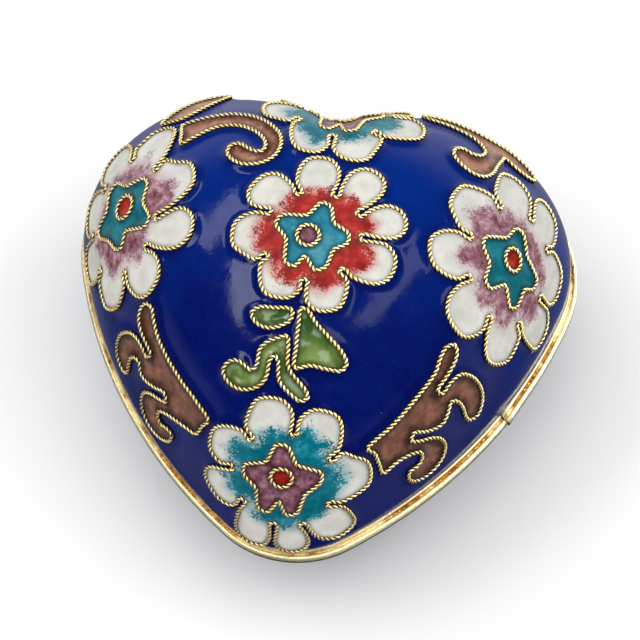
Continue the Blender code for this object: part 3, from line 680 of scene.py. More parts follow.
def within(points, outer, holes):
    """Which flat points lie inside the outer line and outside every hole."""
    keep = inside(points, outer)
    for hole in holes:
        keep &= ~inside(points, hole)
    return keep


def gap_to(points, spots):
    """Distance of each point from the nearest spot, both flat or both in space."""
    tree = kdtree.KDTree(len(spots))
    for i, spot in enumerate(spots):
        tree.insert(Vector(spot).to_3d(), i)
    tree.balance()
    return np.array([tree.find(Vector(point).to_3d())[2] for point in points])


def grid_points(outer, holes):
    """Points on a triangular grid within an outline and clear of its lines."""
    low = outer.min(axis=0)
    high = outer.max(axis=0)
    row_step = CELL_GRID * math.sqrt(3) / 2
    rows = int((high[1] - low[1]) / row_step) + 2
    columns = int((high[0] - low[0]) / CELL_GRID) + 2
    row, column = np.mgrid[0:rows, 0:columns]
    x = low[0] + (column + 0.5 * (row % 2)) * CELL_GRID
    y = low[1] + row * row_step
    points = np.column_stack((x.ravel(), y.ravel()))
    points = points[within(points, outer, holes)]
    return points[gap_to(points, np.concatenate((outer, *holes))) > CELL_CLEAR]


# Pieces ---------------------------------------------------------------------


def piece(node, body, look, points, faces, attributes=None):
    """Add one piece, in millimetres, that stands for the CAD node it is named after."""
    mesh = bpy.data.meshes.new(node)
    mesh.from_pydata((np.asarray(points) * MM).tolist(), [], faces)
    mesh.shade_smooth()
    for name, values in (attributes or {}).items():
        vector = values.ndim == 2
        layer = mesh.attributes.new(name, "FLOAT_VECTOR" if vector else "FLOAT", "POINT")
        layer.data.foreach_set("vector" if vector else "value", values.ravel())
    mesh.materials.append(look.material)
    item = bpy.data.objects.new(f"{node}_detail", mesh)
    bpy.context.scene.collection.objects.link(item)
    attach(item, body)
    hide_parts(node)
    return item


def face_out(item):
    """Turn every face of a closed piece outward."""
    bm = bmesh.new()
    bm.from_mesh(item.data)
    bmesh.ops.recalc_face_normals(bm, faces=bm.faces)
    bm.to_mesh(item.data)
    bm.free()


def capped(node, body, look, loops, first_pole, last_pole, attributes=None):
    """A closed skin through loops of points, with a pole at each end."""
    rows, count = loops.shape[:2]
    points = np.concatenate((loops.reshape(-1, 3), [first_pole, last_pole]))
    faces = ring_faces(rows, count)
    faces += pole_faces(0, count, rows * count)
    faces += pole_faces((rows - 1) * count, count, rows * count + 1)
    face_out(piece(node, body, look, points, faces, attributes))


def hoop(node, look, stations, section):
    """A heart-shaped ring of the base with the given section of inset and height."""
    loops = np.array(heart_rows(stations, section))
    rows, count = loops.shape[:2]
    faces = ring_faces(rows, count, closed_rows=True)
    face_out(piece(node, "base", look, loops.reshape(-1, 3), faces))


def layered(depth):
    """Inset and height of the bowl's smooth profile, moved inward square to the wall."""
    knots = np.array(BOWL_PROFILE)
    places = np.linspace(0, len(knots) - 1, BOWL_STEPS)
    ends = np.concatenate((2 * knots[:1] - knots[1:2], knots, 2 * knots[-1:] - knots[-2:-1]))
    curve = []
    for place in places:
        i = min(int(place), len(knots) - 2)
        t = place - i
        a, b, c, d = ends[i:i + 4]
        curve.append(0.5 * (2 * b + (c - a) * t + (2 * a - 5 * b + 4 * c - d) * t ** 2
                            + (3 * b - a - 3 * c + d) * t ** 3))
    curve = np.array(curve)
    run = np.gradient(curve, axis=0)
    across = np.column_stack((run[:, 1], -run[:, 0])) / np.hypot(run[:, 0], run[:, 1])[:, None]
    across[0] = (1.0, 0.0)
    across[-1] = (0.0, -1.0)
    moved = curve + across * depth
    return [(inset, PARTING_Z - RIM_DROP - drop) for inset, drop in moved]


def bowl_skin(node, look, stations, depth, thick):
    """A layer of the bowl, from its outer face's middle over the rim to its inner one."""
    outer = heart_rows(stations, layered(depth))
    inner = heart_rows(stations, layered(depth + thick))
    low = (BODY_X, CROWN_Y, outer[-1][0][2])
    high = (BODY_X, CROWN_Y, inner[-1][0][2])
    capped(node, "base", look, np.array(outer[::-1] + inner), low, high)


def lid_skin(node, look, stations, depth, thick, start=0.0, skirt=False):
    """A plain layer of the lid between two domes, with an optional straight skirt."""
    outer = dome_grid(stations, depth, PLAIN_RINGS, start)
    inner = dome_grid(stations, depth + thick, PLAIN_RINGS, start)
    edge = []
    if skirt:
        feet = [(DOME_INSET + d, PARTING_Z + RIM_GAP) for d in (depth, depth + thick)]
        edge = heart_rows(stations, feet)
    loops = np.array([*outer[::-1], *edge, *inner])
    capped(node, "lid", look, loops, crown_point(depth), crown_point(depth + thick))


def climb(edge, run, shape):
    """How far enamel climbs, from 1 at a wire's wall to 0 away from it."""
    return np.exp(-(np.maximum(edge - WALL_HALF, 0) / run) ** shape)


def ground_skin(look, stations, loops, wires):
    """The lid's cobalt enamel, which swells gently and climbs a little at each wire."""
    normals = grid_normals(loops, crown_point(0.0)).reshape(-1, 3)
    points = loops.reshape(-1, 3)
    edge = gap_to(points, wires)
    swell = np.array([noise.noise(Vector(p) * SWELL_SCALE) for p in points]) * SWELL
    steps = np.linspace(0, 1, len(loops)) * len(loops)
    fade = np.repeat(np.clip(steps / CALM_RINGS, 0, 1), loops.shape[1])
    lift = (MENISCUS * climb(edge, MENISCUS_RUN, MENISCUS_SHAPE) + swell) * fade
    outer = (points + normals * lift[:, None]).reshape(loops.shape)
    inner = dome_grid(stations, ENAMEL, INNER_RINGS)
    skin = np.array([*outer[::-1], *inner])
    poles = 2
    hidden = np.full(inner[:, :, 0].size + poles, FAR_FROM_WIRES)
    near = np.concatenate((edge.reshape(loops.shape[:2])[::-1].ravel(), hidden))
    pole = crown_point(0.0) + np.array((0.0, 0.0, lift[-1]))
    capped("lid_ground_enamel", "lid", look, skin, pole, crown_point(ENAMEL), {"edge": near})


def lid_band(look):
    """Gilt strip bent round the lid's rim, its two ends meeting at a butt seam."""
    arcs = heart_arcs()
    length = abs(arcs[1][1] * (arcs[1][3] - arcs[1][2]))
    half_gap = SEAM_GAP / 2 / length
    stations = heart_stations(RIM_FACTOR)
    steps = ARC_STEPS[1] * RIM_FACTOR
    cut = ARC_STEPS[0] * RIM_FACTOR + math.ceil(SEAM_PLACE * steps)
    start = station(arcs[1], SEAM_PLACE + half_gap)
    end = station(arcs[1], SEAM_PLACE - half_gap)
    path = [start] + stations[cut + 1:] + stations[:cut - 1] + [end]
    points = []
    run = []
    ledge = []
    foot = []
    travelled = 0.0
    before = path[0][0]
    for point, normal in path:
        travelled += (point - before).length
        before = point
        step_out = SEAM_STEP * max(1 - travelled / SEAM_REACH, 0.0) ** 2
        for k, (inset, z) in enumerate(LID_BAND):
            place = point - normal * (inset - step_out)
            shift = BODY_X * max(inset, 0.0) / LID_BAND_DEPTH
            points.append((place.x + shift, place.y, PARTING_Z + z))
            run.append((travelled, k * RUB_STEP, 0.0))
            # Masks of the band's dull orange ledge and of the painted shade on its foot.
            ledge.append(float(LEDGE_FROM <= inset <= LEDGE_TO and z < LEDGE_TOP))
            foot.append(float(z < FOOT_TOP))
    count = len(LID_BAND)
    faces = ring_faces(len(path), count)
    faces.append(tuple(range(count)))
    faces.append(tuple(range(len(points) - count, len(points))))
    attributes = {"run": np.array(run), "ledge": np.array(ledge), "foot": np.array(foot)}
    face_out(piece("lid_rim_band", "lid", look, points, faces, attributes))


def heading(path):
    """Unit direction of a closed path at each of its points."""
    return unit(np.roll(path, -1, axis=0) - np.roll(path, 1, axis=0))


def twisted_wire(node, look, patch, line):
    """Two gilt strands twisted together along a closed flat line on the dome."""
    spots, normals = patch.place(line)
    centre = spots + normals * WIRE_LIFT
    ahead = heading(centre)
    side = unit(np.cross(ahead, normals))
    up = np.cross(side, ahead)
    count = len(centre)
    length = np.linalg.norm(np.roll(centre, -1, axis=0) - centre, axis=1).sum()
    twists = round(length / TWIST_PITCH)
    turn = np.linspace(0.0, 2 * math.pi * twists, count, endpoint=False)
    angles = [2 * math.pi * k / WIRE_SIDES for k in range(WIRE_SIDES)]
    tubes = []
    faces = []
    for strand in range(STRANDS):
        phase = turn + 2 * math.pi * strand / STRANDS
        outward = up * np.cos(phase)[:, None] + side * np.sin(phase)[:, None]
        path = centre + outward * STRAND_OFFSET
        run = heading(path)
        across = unit(np.cross(run, outward))
        out = np.cross(across, run)
        rows = [path + (out * math.cos(a) + across * math.sin(a)) * STRAND_RADIUS for a in angles]
        tubes.append(np.stack(rows, axis=1))
        first = strand * count * WIRE_SIDES
        faces += [[first + k for k in face] for face in ring_faces(count, WIRE_SIDES, True)]
    # Masks for the wire's painted shade: groove, from each strand's outer side to the side against the
    # other strand, and height above the dome.
    heights = [np.einsum("ijk,ik->ij", tube - centre[:, None], normals) for tube in tubes]
    groove = np.tile([0.5 - 0.5 * math.cos(a) for a in angles], count * STRANDS)
    attributes = {"groove": groove, "height": np.concatenate(heights).ravel()}
    piece(node, "lid", look, np.concatenate(tubes).reshape(-1, 3), faces, attributes)
    return spots


def tint_reach(flower, degrees):
    """How far the inner colour reaches at each angle, least between two petals."""
    knots = [(petal[0] % 360, tint) for petal, tint in zip(flower["petals"], flower["tint"])]
    pinch = TINT_PINCH[flower["shade"]]
    knots += [(angle % 360, distance * pinch) for angle, distance in flower["valleys"]]
    angles, values = np.array(sorted(knots)).T
    return np.interp(degrees % 360, angles, values, period=360)


def brushwork(spots, flower):
    """How far points lie beyond a flower's inner colour, and their places in its streaks."""
    reach = spots - np.array(flower["heart"] if flower else (0.0, 0.0))
    distance = np.hypot(reach[:, 0], reach[:, 1])
    degrees = np.degrees(np.arctan2(reach[:, 1], reach[:, 0]))
    bloom = distance - (tint_reach(flower, degrees) if flower else NO_TINT)
    ray = reach / np.maximum(distance, STREAK_HEART)[:, None]
    return bloom, np.column_stack((ray * STREAK_ROUND, distance * STREAK_ALONG))


def cell_mesh(lines):
    """Points and triangles inside the first line and outside the others, and their rim."""
    flat = []
    edges = []
    for line in lines:
        start = len(flat)
        flat += [Vector(p) for p in line]
        edges += [(start + i, start + (i + 1) % len(line)) for i in range(len(line))]
    flat += [Vector(p) for p in grid_points(lines[0], lines[1:])]
    spots, _, faces = delaunay_2d_cdt(flat, edges, [], 0, MM)[:3]
    spots = np.array([tuple(p) for p in spots])
    middles = np.array([spots[list(face)].mean(axis=0) for face in faces])
    keep = within(middles, lines[0], lines[1:])
    kept = [tuple(face) for face, good in zip(faces, keep) if good]
    sides = {(i, j) for face in kept for i, j in zip(face, face[1:] + face[:1])}
    return spots, kept, sorted((i, j) for i, j in sides if (j, i) not in sides)


def cell(node, look, patch, outer, holes, low=PETAL_LOW, run=PETAL_RUN, flower=None):
    """Enamel that fills a flat outline and hangs between its wires like a shallow dish."""
    lines = [outer, *holes]
    spots, faces, rim = cell_mesh([line[::CELL_STEP] for line in lines])
    edge = gap_to(spots, np.concatenate(lines))
    lift = low + (CELL_HIGH - low) * climb(edge, run, DISH_SHAPE)
    points, normals = patch.place(spots)
    top = points + normals * lift[:, None]
    below = {i: len(top) + k for k, (i, _) in enumerate(rim)}
    walls = [(i, below[i], below[j], j) for i, j in rim]
    bloom, streak = brushwork(spots, flower)
    index = list(below)
    values = {"edge": edge, "bloom": bloom, "streak": streak}
    attributes = {name: np.concatenate((value, value[index])) for name, value in values.items()}
    piece(node, "lid", look, np.concatenate((top, points[index])), faces + walls, attributes)


# Materials ------------------------------------------------------------------


SHADER_INPUTS = {
    "colour": "Base Color",
    "rough": "Roughness",
    "metal": "Metallic",
    "normal": "Normal",
    "specular": "Specular IOR Level",
}


def screen(red, green, blue):
    """Linear colour of an 8-bit screen colour."""
    levels = (value / 255 for value in (red, green, blue))
    return tuple(((v + 0.055) / 1.055) ** 2.4 if v > 0.04 else v / 12.92 for v in levels)


class Nodes:
    """Short names for making the nodes of a material or a world.

    A colour is either the socket it comes from or an 8-bit screen colour.
    """

    def __init__(self, owner):
        owner.use_nodes = True
        self.tree = owner.node_tree

    def node(self, kind, values=None, **settings):
        node = self.tree.nodes.new(kind)
        for name, setting in settings.items():
            setattr(node, name, setting)
        for name, value in (values or {}).items():
            self.put(node.inputs[name], value)
        return node

    def put(self, socket, value):
        if isinstance(value, bpy.types.NodeSocket):
            self.tree.links.new(value, socket)
        elif socket.type == "RGBA":
            socket.default_value = (*screen(*value), 1.0)
        else:
            socket.default_value = value

    def maths(self, operation, *values):
        node = self.node("ShaderNodeMath", operation=operation)
        for socket, value in zip(node.inputs, values):
            self.put(socket, value)
        return node.outputs[0]

    def fit(self, value, low, high, to_low=0.0, to_high=1.0):
        """Value carried smoothly from one range to another."""
        values = {"Value": value, "From Min": low, "From Max": high, "To Min": to_low, "To Max": to_high}
        return self.node("ShaderNodeMapRange", values, interpolation_type="SMOOTHSTEP").outputs["Result"]


class Look(Nodes):
    """A procedural material, whose textures are laid out in millimetres on the object.

    Its colour begins as a ramp, and more colours are then laid over it as coats.
    """

    def __init__(self, name, slot=None):
        self.material = bpy.data.materials.new(name)
        self.slot = slot
        super().__init__(self.material)
        spot = self.node("ShaderNodeTexCoord").outputs["Object"]
        scale = self.node("ShaderNodeVectorMath", {"Vector": spot, "Scale": 1 / MM}, operation="SCALE")
        self.place = scale.outputs["Vector"]
        self.colour = None

    def noise(self, scale, detail=3.0, rough=0.55, place=None):
        values = {"Vector": place or self.place, "Scale": scale, "Detail": detail, "Roughness": rough}
        return self.node("ShaderNodeTexNoise", values).outputs["Fac"]

    def dots(self, scale, radius, share):
        """1 inside small round spots, which only a share of the cells hold."""
        cells = self.node("ShaderNodeTexVoronoi", {"Vector": self.place, "Scale": scale})
        size = radius * scale
        spot = self.fit(cells.outputs["Distance"], size, size * 0.6, 0.0, 1.0)
        pick = self.node("ShaderNodeSeparateColor", {"Color": cells.outputs["Color"]}).outputs["Red"]
        return self.maths("MULTIPLY", spot, self.maths("LESS_THAN", pick, share))

    def mix(self, factor, first, second):
        """Colour that goes from first to second as the factor goes from 0 to 1."""
        node = self.node("ShaderNodeMix", data_type="RGBA")
        self.put(node.inputs[0], factor)
        self.put(node.inputs[6], first)
        self.put(node.inputs[7], second)
        return node.outputs[2]

    def ramp(self, factor, *stops):
        """Colour read from stops of a place and a colour."""
        node = self.node("ShaderNodeValToRGB", {"Fac": factor})
        ramp = node.color_ramp
        while len(ramp.elements) < len(stops):
            ramp.elements.new(0.5)
        for element, (place, colour) in zip(ramp.elements, stops):
            element.position = place
            element.color = (*screen(*colour), 1.0)
        return node.outputs["Color"]

    def begin(self, factor, *stops):
        self.colour = self.ramp(factor, *stops)

    def coat(self, factor, colour):
        """Lay a colour over what is there, fully where the factor is 1."""
        self.colour = self.mix(factor, self.colour, colour)

    def attribute(self, name, output="Fac"):
        return self.node("ShaderNodeAttribute", attribute_name=name).outputs[output]

    def wire_shade_mask(self, low, high, most):
        """Mask of the painted shade beside the wires: the most close to a wire, and 0 farther than high
        from its middle line.
        """
        return self.fit(self.attribute("edge"), low, high, most, 0.0)

    def bump(self, height, depth, normal=None):
        """A relief of the given depth in millimetres, laid over another one."""
        values = {"Height": height, "Distance": depth * MM}
        if normal is not None:
            values["Normal"] = normal
        return self.node("ShaderNodeBump", values).outputs["Normal"]

    def done(self, **values):
        """Set or connect the colour and other inputs of the shader, by their short names."""
        shader = self.tree.nodes["Principled BSDF"]
        for name, value in {"colour": self.colour, **values}.items():
            self.put(shader.inputs[SHADER_INPUTS[name]], value)
        return self


def glaze(look, rough, wave, wave_scale, gloss=0.3):
    """Finish an enamel: glossy glass with gentle waves, pinholes and orange peel."""
    soft = look.bump(look.noise(wave_scale, 2.0, 0.4), wave)
    peel = look.bump(look.noise(1.6, 2.0, 0.5), 0.012, soft)
    pits = look.bump(look.maths("SUBTRACT", 1.0, look.dots(0.55, 0.07, 0.16)), 0.05, peel)
    roughness = look.fit(look.noise(0.5, 4.0), 0.3, 0.75, rough * 0.75, rough * 1.6)
    return look.done(rough=roughness, normal=pits, specular=gloss)


def cobalt_look():
    """Deep blue with fine specks, paler towards the back as a painted light and darker beside the wires
    as a painted shade.
    """
    look = Look("cobalt enamel", "cobalt_enamel")
    axes = look.node("ShaderNodeSeparateXYZ", {"Vector": look.place})
    # Painted light: the blue grows paler towards the back, where the light falls.
    painted_back_light = look.fit(axes.outputs["Y"], -14.0, 14.0, 0.0, 0.55)
    cloud = look.maths("MULTIPLY_ADD", look.noise(0.17, 3.0), 0.5, painted_back_light)
    look.begin(cloud, (0.2, (0, 12, 90)), (0.85, (0, 40, 126)))
    look.coat(look.fit(look.noise(2.4, 4.0, 0.7), 0.5, 0.8, 0.0, 0.3), (8, 50, 140))
    # Painted shade: the blue is darkened beside the wires.
    look.coat(look.wire_shade_mask(0.3, 1.5, 0.5), (2, 12, 74))
    look.coat(look.dots(0.6, 0.055, 0.2), (150, 165, 205))
    look.coat(look.dots(0.3, 0.05, 0.3), (0, 2, 34))
    return glaze(look, 0.1, 0.02, 0.2)


def bloom_edge(look, wander, width):
    """0 in the inner colour and 1 beyond it, with a brushed, flecked border."""
    streaks = look.noise(0.9, 4.0, 0.65, look.attribute("streak", "Vector"))
    flecks = look.noise(4.2, 2.0, 0.6)
    spread = look.maths("MULTIPLY", look.maths("SUBTRACT", streaks, 0.5), wander)
    fine = look.maths("MULTIPLY", look.maths("SUBTRACT", flecks, 0.5), wander * 1.1)
    broad = look.maths("MULTIPLY", look.maths("SUBTRACT", look.noise(0.3, 1.0), 0.5), wander * 1.3)
    shift = look.maths("ADD", spread, look.maths("ADD", fine, broad))
    return look.fit(look.maths("ADD", look.attribute("bloom"), shift), -width, width)


def petal_look(name, dark, mid, light, wander, width, grain):
    """White enamel with another colour brushed outward from the flower's star."""
    look = Look(name, "white_enamel")
    inner = look.ramp(look.noise(grain, 4.0, 0.65), (0.34, dark), (0.52, mid), (0.72, light))
    look.begin(look.noise(0.5, 3.0), (0.3, (200, 200, 192)), (0.7, (222, 220, 213)))
    look.coat(look.dots(0.9, 0.08, 0.3), (108, 100, 92))
    look.coat(look.fit(look.noise(2.0, 4.0), 0.62, 0.8, 0.0, 0.35), (188, 192, 182))
    look.coat(look.fit(look.attribute("bloom"), 0.0, 1.5, 0.5, 0.0), light)
    look.colour = look.mix(bloom_edge(look, wander, width), inner, look.colour)
    shadow = look.mix(0.6, look.colour, (70, 66, 58))
    look.coat(look.wire_shade_mask(0.22, 0.75, 0.62), shadow)
    return glaze(look, 0.14, 0.012, 0.5)


def mottled_look(name, slot, dark, mid, light, grain, rough, wire_shade_colour, run=0.9, core_highlight=0.0):
    """One enamel colour, clouded and speckled, with a painted shade at the wires and a painted highlight
    in its core.
    """
    look = Look(name, slot)
    look.begin(look.noise(grain, 4.0, 0.62), (0.3, dark), (0.5, mid), (0.72, light))
    look.coat(look.fit(look.noise(4.0, 2.0, 0.6), 0.58, 0.72, 0.0, 0.5), dark)
    # Painted highlight: the lighter colour laid over the core, away from the wires.
    look.coat(look.fit(look.attribute("edge"), 0.6, 1.6, 0.0, core_highlight), light)
    # Painted shade: the darker colour laid beside the wires.
    look.coat(look.wire_shade_mask(0.2, run, 0.85), wire_shade_colour)
    return glaze(look, rough, 0.015, 0.5)


def leaf_look():
    """Translucent green, deep towards the stem, with a painted shade at the wires and pale patches of
    painted reflection.
    """
    look = Look("green enamel", "green_enamel")
    cloud = look.noise(0.38, 3.0, 0.5)
    look.begin(cloud, (0.34, (66, 92, 38)), (0.5, (102, 127, 58)), (0.66, (138, 157, 86)))
    stem = look.node("ShaderNodeVectorMath", {0: look.place, 1: LEAF_STEM}, operation="DISTANCE")
    look.coat(look.fit(stem.outputs["Value"], 2.0, 8.0, 0.85, 0.0), (40, 80, 28))
    # Painted reflection: pale grey-green patches laid over the green.
    look.coat(look.fit(look.noise(0.42, 2.5, 0.5), 0.5, 0.6, 0.0, 0.6), (160, 180, 146))
    # Painted shade: the green darkened beside the wires.
    look.coat(look.wire_shade_mask(0.2, 0.9, 0.88), (36, 60, 18))
    return glaze(look, 0.14, 0.02, 0.35, 0.8)


def wire_look():
    """Worn gilt, with old flux and painted shade in the twist's grooves and painted shade on the
    strands' lower sides.
    """
    look = Look("gilt wire", "gilt")
    tone = look.noise(1.1, 4.0, 0.6)
    look.begin(tone, (0.3, (240, 200, 116)), (0.5, (252, 230, 162)), (0.7, (255, 247, 208)))
    # Painted shade: dark in the grooves between the strands, partly old flux, and dark on the strands'
    # lower sides.
    look.coat(look.fit(look.attribute("groove"), 0.25, 0.7, 0.0, 0.97), (44, 26, 10))
    look.coat(look.fit(look.attribute("height"), 0.0, 0.22, 0.9, 0.0), (50, 32, 12))
    normal = look.bump(look.noise(7.0, 3.0, 0.7), 0.02)
    roughness = look.fit(look.noise(3.0, 3.0), 0.3, 0.7, 0.18, 0.36)
    return look.done(rough=roughness, metal=0.85, normal=normal)


def band_look():
    """Gilt strip with lengthwise rub marks, dull orange on its ledge, and painted shade on its foot."""
    look = Look("gilt band", "gilt")
    run = look.attribute("run", "Vector")
    long = look.node("ShaderNodeVectorMath", {0: run, 1: (0.5, 6.0, 1.0)}, operation="MULTIPLY")
    rub = look.noise(1.0, 5.0, 0.65, long.outputs["Vector"])
    look.begin(rub, (0.3, (234, 190, 96)), (0.42, (253, 234, 166)), (0.56, (255, 249, 212)))
    look.coat(look.fit(look.noise(0.7, 4.0, 0.6), 0.6, 0.8, 0.0, 0.5), (190, 128, 40))
    # The recessed ledge is laid over with dull dark orange, in patches.
    stain = look.noise(2.4, 4.0, 0.75)
    ledge_colour = look.ramp(stain, (0.36, (60, 30, 2)), (0.5, (166, 100, 14)), (0.66, (244, 206, 100)))
    ledge = look.fit(look.attribute("ledge"), 0.2, 0.8)
    ledge_patches = look.fit(look.noise(0.16, 3.0, 0.6), 0.4, 0.56, 0.3, 1.0)
    look.coat(look.maths("MULTIPLY", ledge, ledge_patches), ledge_colour)
    # Painted shade on the band's foot, under the rim.
    look.coat(look.fit(look.attribute("foot"), 0.2, 0.8, 0.0, 0.9), (70, 40, 10))
    look.coat(look.dots(0.9, 0.14, 0.35), (44, 24, 8))
    normal = look.bump(look.noise(1.3, 3.0, 0.6), 0.09, look.bump(rub, 0.05))
    roughness = look.fit(rub, 0.3, 0.7, 0.36, 0.22)
    return look.done(rough=roughness, metal=0.85, normal=normal)


def plain_gilt_look():
    """Gilt strip of the base and the foot, blotched and finely scratched."""
    look = Look("gilt rim", "gilt")
    blotch = look.noise(0.6, 4.0, 0.6)
    look.begin(blotch, (0.3, (196, 142, 70)), (0.6, (236, 198, 124)), (0.8, (248, 224, 166)))
    scratches = look.noise(5.0, 4.0, 0.7)
    roughness = look.fit(scratches, 0.3, 0.7, 0.2, 0.36)
    return look.done(rough=roughness, metal=1.0, normal=look.bump(scratches, 0.015))


def copper_look():
    """Plain copper sheet, stained by the kiln."""
    look = Look("bare copper", "bare_copper")
    stain = look.noise(0.4, 5.0, 0.6)
    look.begin(stain, (0.3, (120, 62, 40)), (0.55, (182, 108, 78)), (0.75, (214, 146, 110)))
    normal = look.bump(look.noise(3.5, 4.0, 0.7), 0.02)
    roughness = look.fit(stain, 0.3, 0.7, 0.5, 0.32)
    return look.done(rough=roughness, metal=1.0, normal=normal)


def counter_look():
    """Pale turquoise enamel of the inside, with the freckles of one thin coat."""
    look = Look("counter enamel", "pale_blue_enamel")
    look.begin(look.noise(0.15, 3.0), (0.3, (70, 172, 186)), (0.7, (104, 196, 204)))
    look.coat(look.fit(look.noise(2.6, 4.0, 0.7), 0.6, 0.74, 0.0, 0.6), (40, 128, 150))
    look.coat(look.dots(0.5, 0.1, 0.2), (24, 70, 92))
    return glaze(look, 0.12, 0.02, 0.3)


def looks():
    return {
        "cobalt": cobalt_look(),
        "red_petals": petal_look("white and red enamel", (126, 36, 32), (168, 44, 40),
                                 (196, 80, 68), 3.4, 0.65, 0.6),
        "teal_petals": petal_look("white and turquoise enamel", (0, 86, 102), (0, 108, 126),
                                  (52, 150, 164), 3.6, 0.5, 0.5),
        "mauve_petals": petal_look("white and mauve enamel", (98, 54, 62), (150, 102, 114),
                                   (202, 168, 178), 3.4, 0.8, 0.8),
        "sky": mottled_look("sky enamel", "teal_enamel", (22, 98, 118), (46, 130, 150),
                            (104, 164, 182), 0.28, 0.1, (8, 66, 86)),
        "teal": mottled_look("teal enamel", "teal_enamel", (2, 76, 88), (12, 106, 118),
                             (40, 136, 146), 0.28, 0.1, (4, 50, 62)),
        "mauve": mottled_look("mauve enamel", "mauve_enamel", (74, 40, 50), (126, 80, 94),
                              (170, 128, 140), 1.1, 0.14, (58, 30, 36)),
        "red": mottled_look("red enamel", "red_enamel", (116, 20, 12), (170, 38, 25),
                            (198, 62, 44), 0.9, 0.12, (84, 18, 12)),
        "brown": mottled_look("brown enamel", "brown_enamel", (58, 34, 26), (100, 66, 52),
                              (150, 98, 76), 0.7, 0.16, (26, 10, 7), 1.2, 0.3),
        "rose": mottled_look("rose brown enamel", "brown_enamel", (96, 54, 40), (146, 94, 74),
                             (198, 146, 120), 0.7, 0.16, (40, 18, 12), 1.2, 0.45),
        "green": leaf_look(),
        "wire": wire_look(),
        "band": band_look(),
        "gilt": plain_gilt_look(),
        "copper": copper_look(),
        "counter": counter_look(),
    }


# The box --------------------------------------------------------------------


def flower_pieces(name, flower, dome, look, seed):
    """Three wires and the three enamels within them; returns points along the wires."""
    patch = Patch(dome, flower["plan"])
    petals = handmade(smooth(petal_line(flower)), seed)
    star = handmade(star_line(flower), seed + 0.5)
    ring = handmade(smooth(ring_line(flower)), seed + 0.7)
    wires = {"petal": petals, "star": star, "ring": ring}
    spots = [twisted_wire(f"{name}_{part}_wire", look["wire"], patch, line)
             for part, line in wires.items()]
    shade = flower["shade"]
    cell(f"{name}_petal_enamel", look[f"{shade}_petals"], patch, petals, [star], flower=flower)
    cell(f"{name}_star_enamel", look[STAR_LOOK[shade]], patch, star, [ring], flower=flower)
    cell(f"{name}_middle_enamel", look[MIDDLE_LOOK[shade]], patch, ring, [], flower=flower)
    return spots


def outline_pieces(name, outline, dome, look, seed):
    """A scroll's or a leaf's wire and its enamel; returns points along the wire."""
    patch = Patch(dome, outline["plan"])
    line = handmade(smooth(np.array(outline["line"])), seed)
    spots = twisted_wire(f"{name}_wire", look["wire"], patch, line)
    scroll = "rose" if name in ROSE_SCROLLS else "brown"
    enamel = look["green" if name.startswith("leaf") else scroll]
    cell(f"{name}_enamel", enamel, patch, line, [], DEEP_LOW, DEEP_RUN)
    return spots


def build_base(look):
    stations = heart_stations(RIM_FACTOR)
    bowl_skin("base_ground_enamel", look["cobalt"], stations, 0.0, ENAMEL)
    bowl_skin("base_copper_bowl", look["copper"], stations, COPPER_DEPTH, COPPER)
    bowl_skin("base_counter_enamel", look["counter"], stations, COUNTER_DEPTH, COUNTER_ENAMEL)
    outer = FOOT_INSET
    inner = FOOT_INSET + FOOT_THICK
    foot = (
        (inner - FOOT_ROUND, 0.0),
        (outer + FOOT_ROUND, 0.0),
        (outer, FOOT_ROUND),
        (outer, FOOT_HEIGHT),
        (inner, FOOT_HEIGHT),
        (inner, FOOT_ROUND),
    )
    hoop("foot_ring", look["gilt"], stations, foot)
    for node, section in (("base_rim_band", BASE_BAND), ("locating_lip", LIP)):
        hoop(node, look["gilt"], stations, [(i, PARTING_Z + z) for i, z in section])


def build_lid(look):
    fine = heart_stations(SKIN_FACTOR)
    loops = dome_grid(fine, 0.0, DOME_RINGS)
    dome = dome_tree(loops)
    wires = []
    for seed, (name, flower) in enumerate(FLOWERS.items()):
        wires += flower_pieces(f"flower_{name}", flower, dome, look, seed)
    for seed, (name, outline) in enumerate(OUTLINES.items(), start=10):
        wires.append(outline_pieces(name, outline, dome, look, seed))
    ground_skin(look["cobalt"], fine, loops, np.concatenate(wires))
    stations = heart_stations(RIM_FACTOR)
    lid_skin("lid_copper_shell", look["copper"], stations, COPPER_DEPTH, COPPER, skirt=True)
    lid_skin("lid_counter_enamel", look["counter"], stations, COUNTER_DEPTH, COUNTER_ENAMEL,
             COUNTER_START)
    lid_band(look["band"])


# Floor, light and camera ----------------------------------------------------


def ray(azimuth, elevation):
    """Unit vector towards an azimuth, 0 at the front and 90 on the right, and an elevation."""
    turn = math.radians(azimuth)
    rise = math.radians(elevation)
    return Vector((math.sin(turn) * math.cos(rise), -math.cos(turn) * math.cos(rise), math.sin(rise)))


def floor():
    """A pale floor, which the glossy box doesn't mirror."""
    look = Look("pale floor")
    dull, bright = FLOOR_TONES
    look.begin(look.noise(0.02, 2.0), (0.3, (dull, dull, dull)), (0.7, (bright, bright, bright)))
    look.done(rough=0.6, specular=0.2)
    half = FLOOR_SIZE / 2
    mesh = bpy.data.meshes.new("floor")
    corners = [(-half, -half, 0.0), (half, -half, 0.0), (half, half, 0.0), (-half, half, 0.0)]
    mesh.from_pydata(corners, [], [(0, 1, 2, 3)])
    mesh.materials.append(look.material)
    item = bpy.data.objects.new("floor", mesh)
    bpy.context.scene.collection.objects.link(item)
    item.visible_glossy = False


def aim(item, azimuth, elevation, distance):
    """Set a light or the camera at a distance from the box, looking at it."""
    back = ray(azimuth, elevation)
    item.location = Vector(LOOK_AT) + back * distance
    item.rotation_euler = back.to_track_quat("Z", "Y").to_euler()
    bpy.context.scene.collection.objects.link(item)


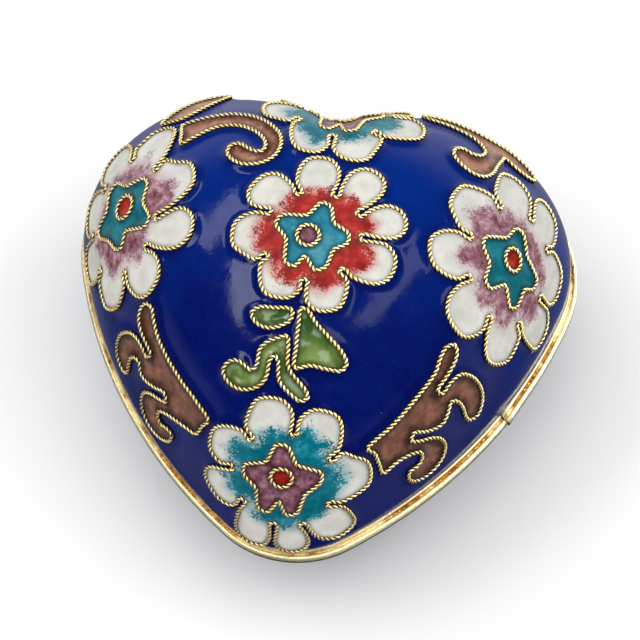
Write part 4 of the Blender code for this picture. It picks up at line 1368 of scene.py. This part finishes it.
def softbox(name, azimuth, elevation, width, height, power, roll, shows=True, only=None):
    """A soft light, rolled about its own beam, that may light only some pieces."""
    lamp = bpy.data.lights.new(name, "AREA")
    lamp.shape = "RECTANGLE"
    lamp.size = width
    lamp.size_y = height
    lamp.energy = power
    item = bpy.data.objects.new(name, lamp)
    aim(item, azimuth, elevation, LIGHT_DISTANCE)
    item.rotation_euler.rotate_axis("Z", math.radians(roll))
    item.visible_glossy = shows
    item.light_linking.receiver_collection = only


def gilt_pieces():
    """The gilt pieces, which have broad lights of their own so that they glitter."""
    group = bpy.data.collections.new("gilt pieces")
    for item in bpy.context.scene.objects:
        material = item.active_material
        if item.type == "MESH" and material and material.name.startswith("gilt"):
            group.objects.link(item)
    return group


def world():
    """A dim room that glows behind the box and, low down, to its left and right."""
    owner = bpy.data.worlds.new("studio")
    bpy.context.scene.world = owner
    sky = Nodes(owner)
    spot = sky.node("ShaderNodeTexCoord").outputs["Generated"]
    axes = sky.node("ShaderNodeSeparateXYZ", {"Vector": spot}).outputs
    back = sky.fit(axes["Y"], 0.1, 0.8)
    low = sky.fit(axes["Z"], 0.15, 0.6, 0.85, 0.0)
    floor_shade = sky.fit(axes["Z"], -0.7, -0.25, 0.3, 1.0)
    flank = sky.fit(sky.maths("ABSOLUTE", axes["X"]), 0.35, 0.95, 0.0, 0.42)
    front = sky.fit(axes["Y"], -0.1, 0.25, 1.0, 0.0)
    table = sky.fit(axes["Z"], -0.05, 0.2, 1.0, 0.0)
    haze = sky.maths("MULTIPLY", sky.maths("MULTIPLY", flank, front), table)
    behind = sky.maths("MULTIPLY", low, floor_shade)
    glow = sky.maths("MULTIPLY_ADD", back, behind, sky.maths("ADD", haze, WORLD_DIM))
    shade = sky.tree.nodes["Background"]
    sky.put(shade.inputs["Color"], (255, 255, 255))
    sky.put(shade.inputs["Strength"], glow)


def lighting():
    """Softboxes that the dome mirrors, fills that it doesn't, and lights for gilt alone."""
    for name, values in SOFTBOXES.items():
        softbox(name, *values)
    for name, values in FILLS.items():
        softbox(name, *values, shows=False)
    gilt = gilt_pieces()
    for name, values in GILT_LIGHTS.items():
        softbox(name, *values, only=gilt)


def camera():
    data = bpy.data.cameras.new("camera")
    data.lens = LENS
    data.sensor_width = SENSOR
    data.shift_x = SHIFT
    data.shift_y = -SHIFT
    data.clip_start = NEAR_CLIP
    item = bpy.data.objects.new("camera", data)
    aim(item, VIEW_AZIMUTH, VIEW_ELEVATION, VIEW_DISTANCE)
    bpy.context.scene.camera = item


def main():
    bpy.context.scene.view_settings.view_transform = "Standard"
    # Unless it is set, the seed is the time of day, and noise_vector shifts with it.
    noise.seed_set(WOBBLE_SEED)
    camera()
    look = looks()
    build_base(look)
    build_lid(look)
    floor()
    world()
    lighting()


main()
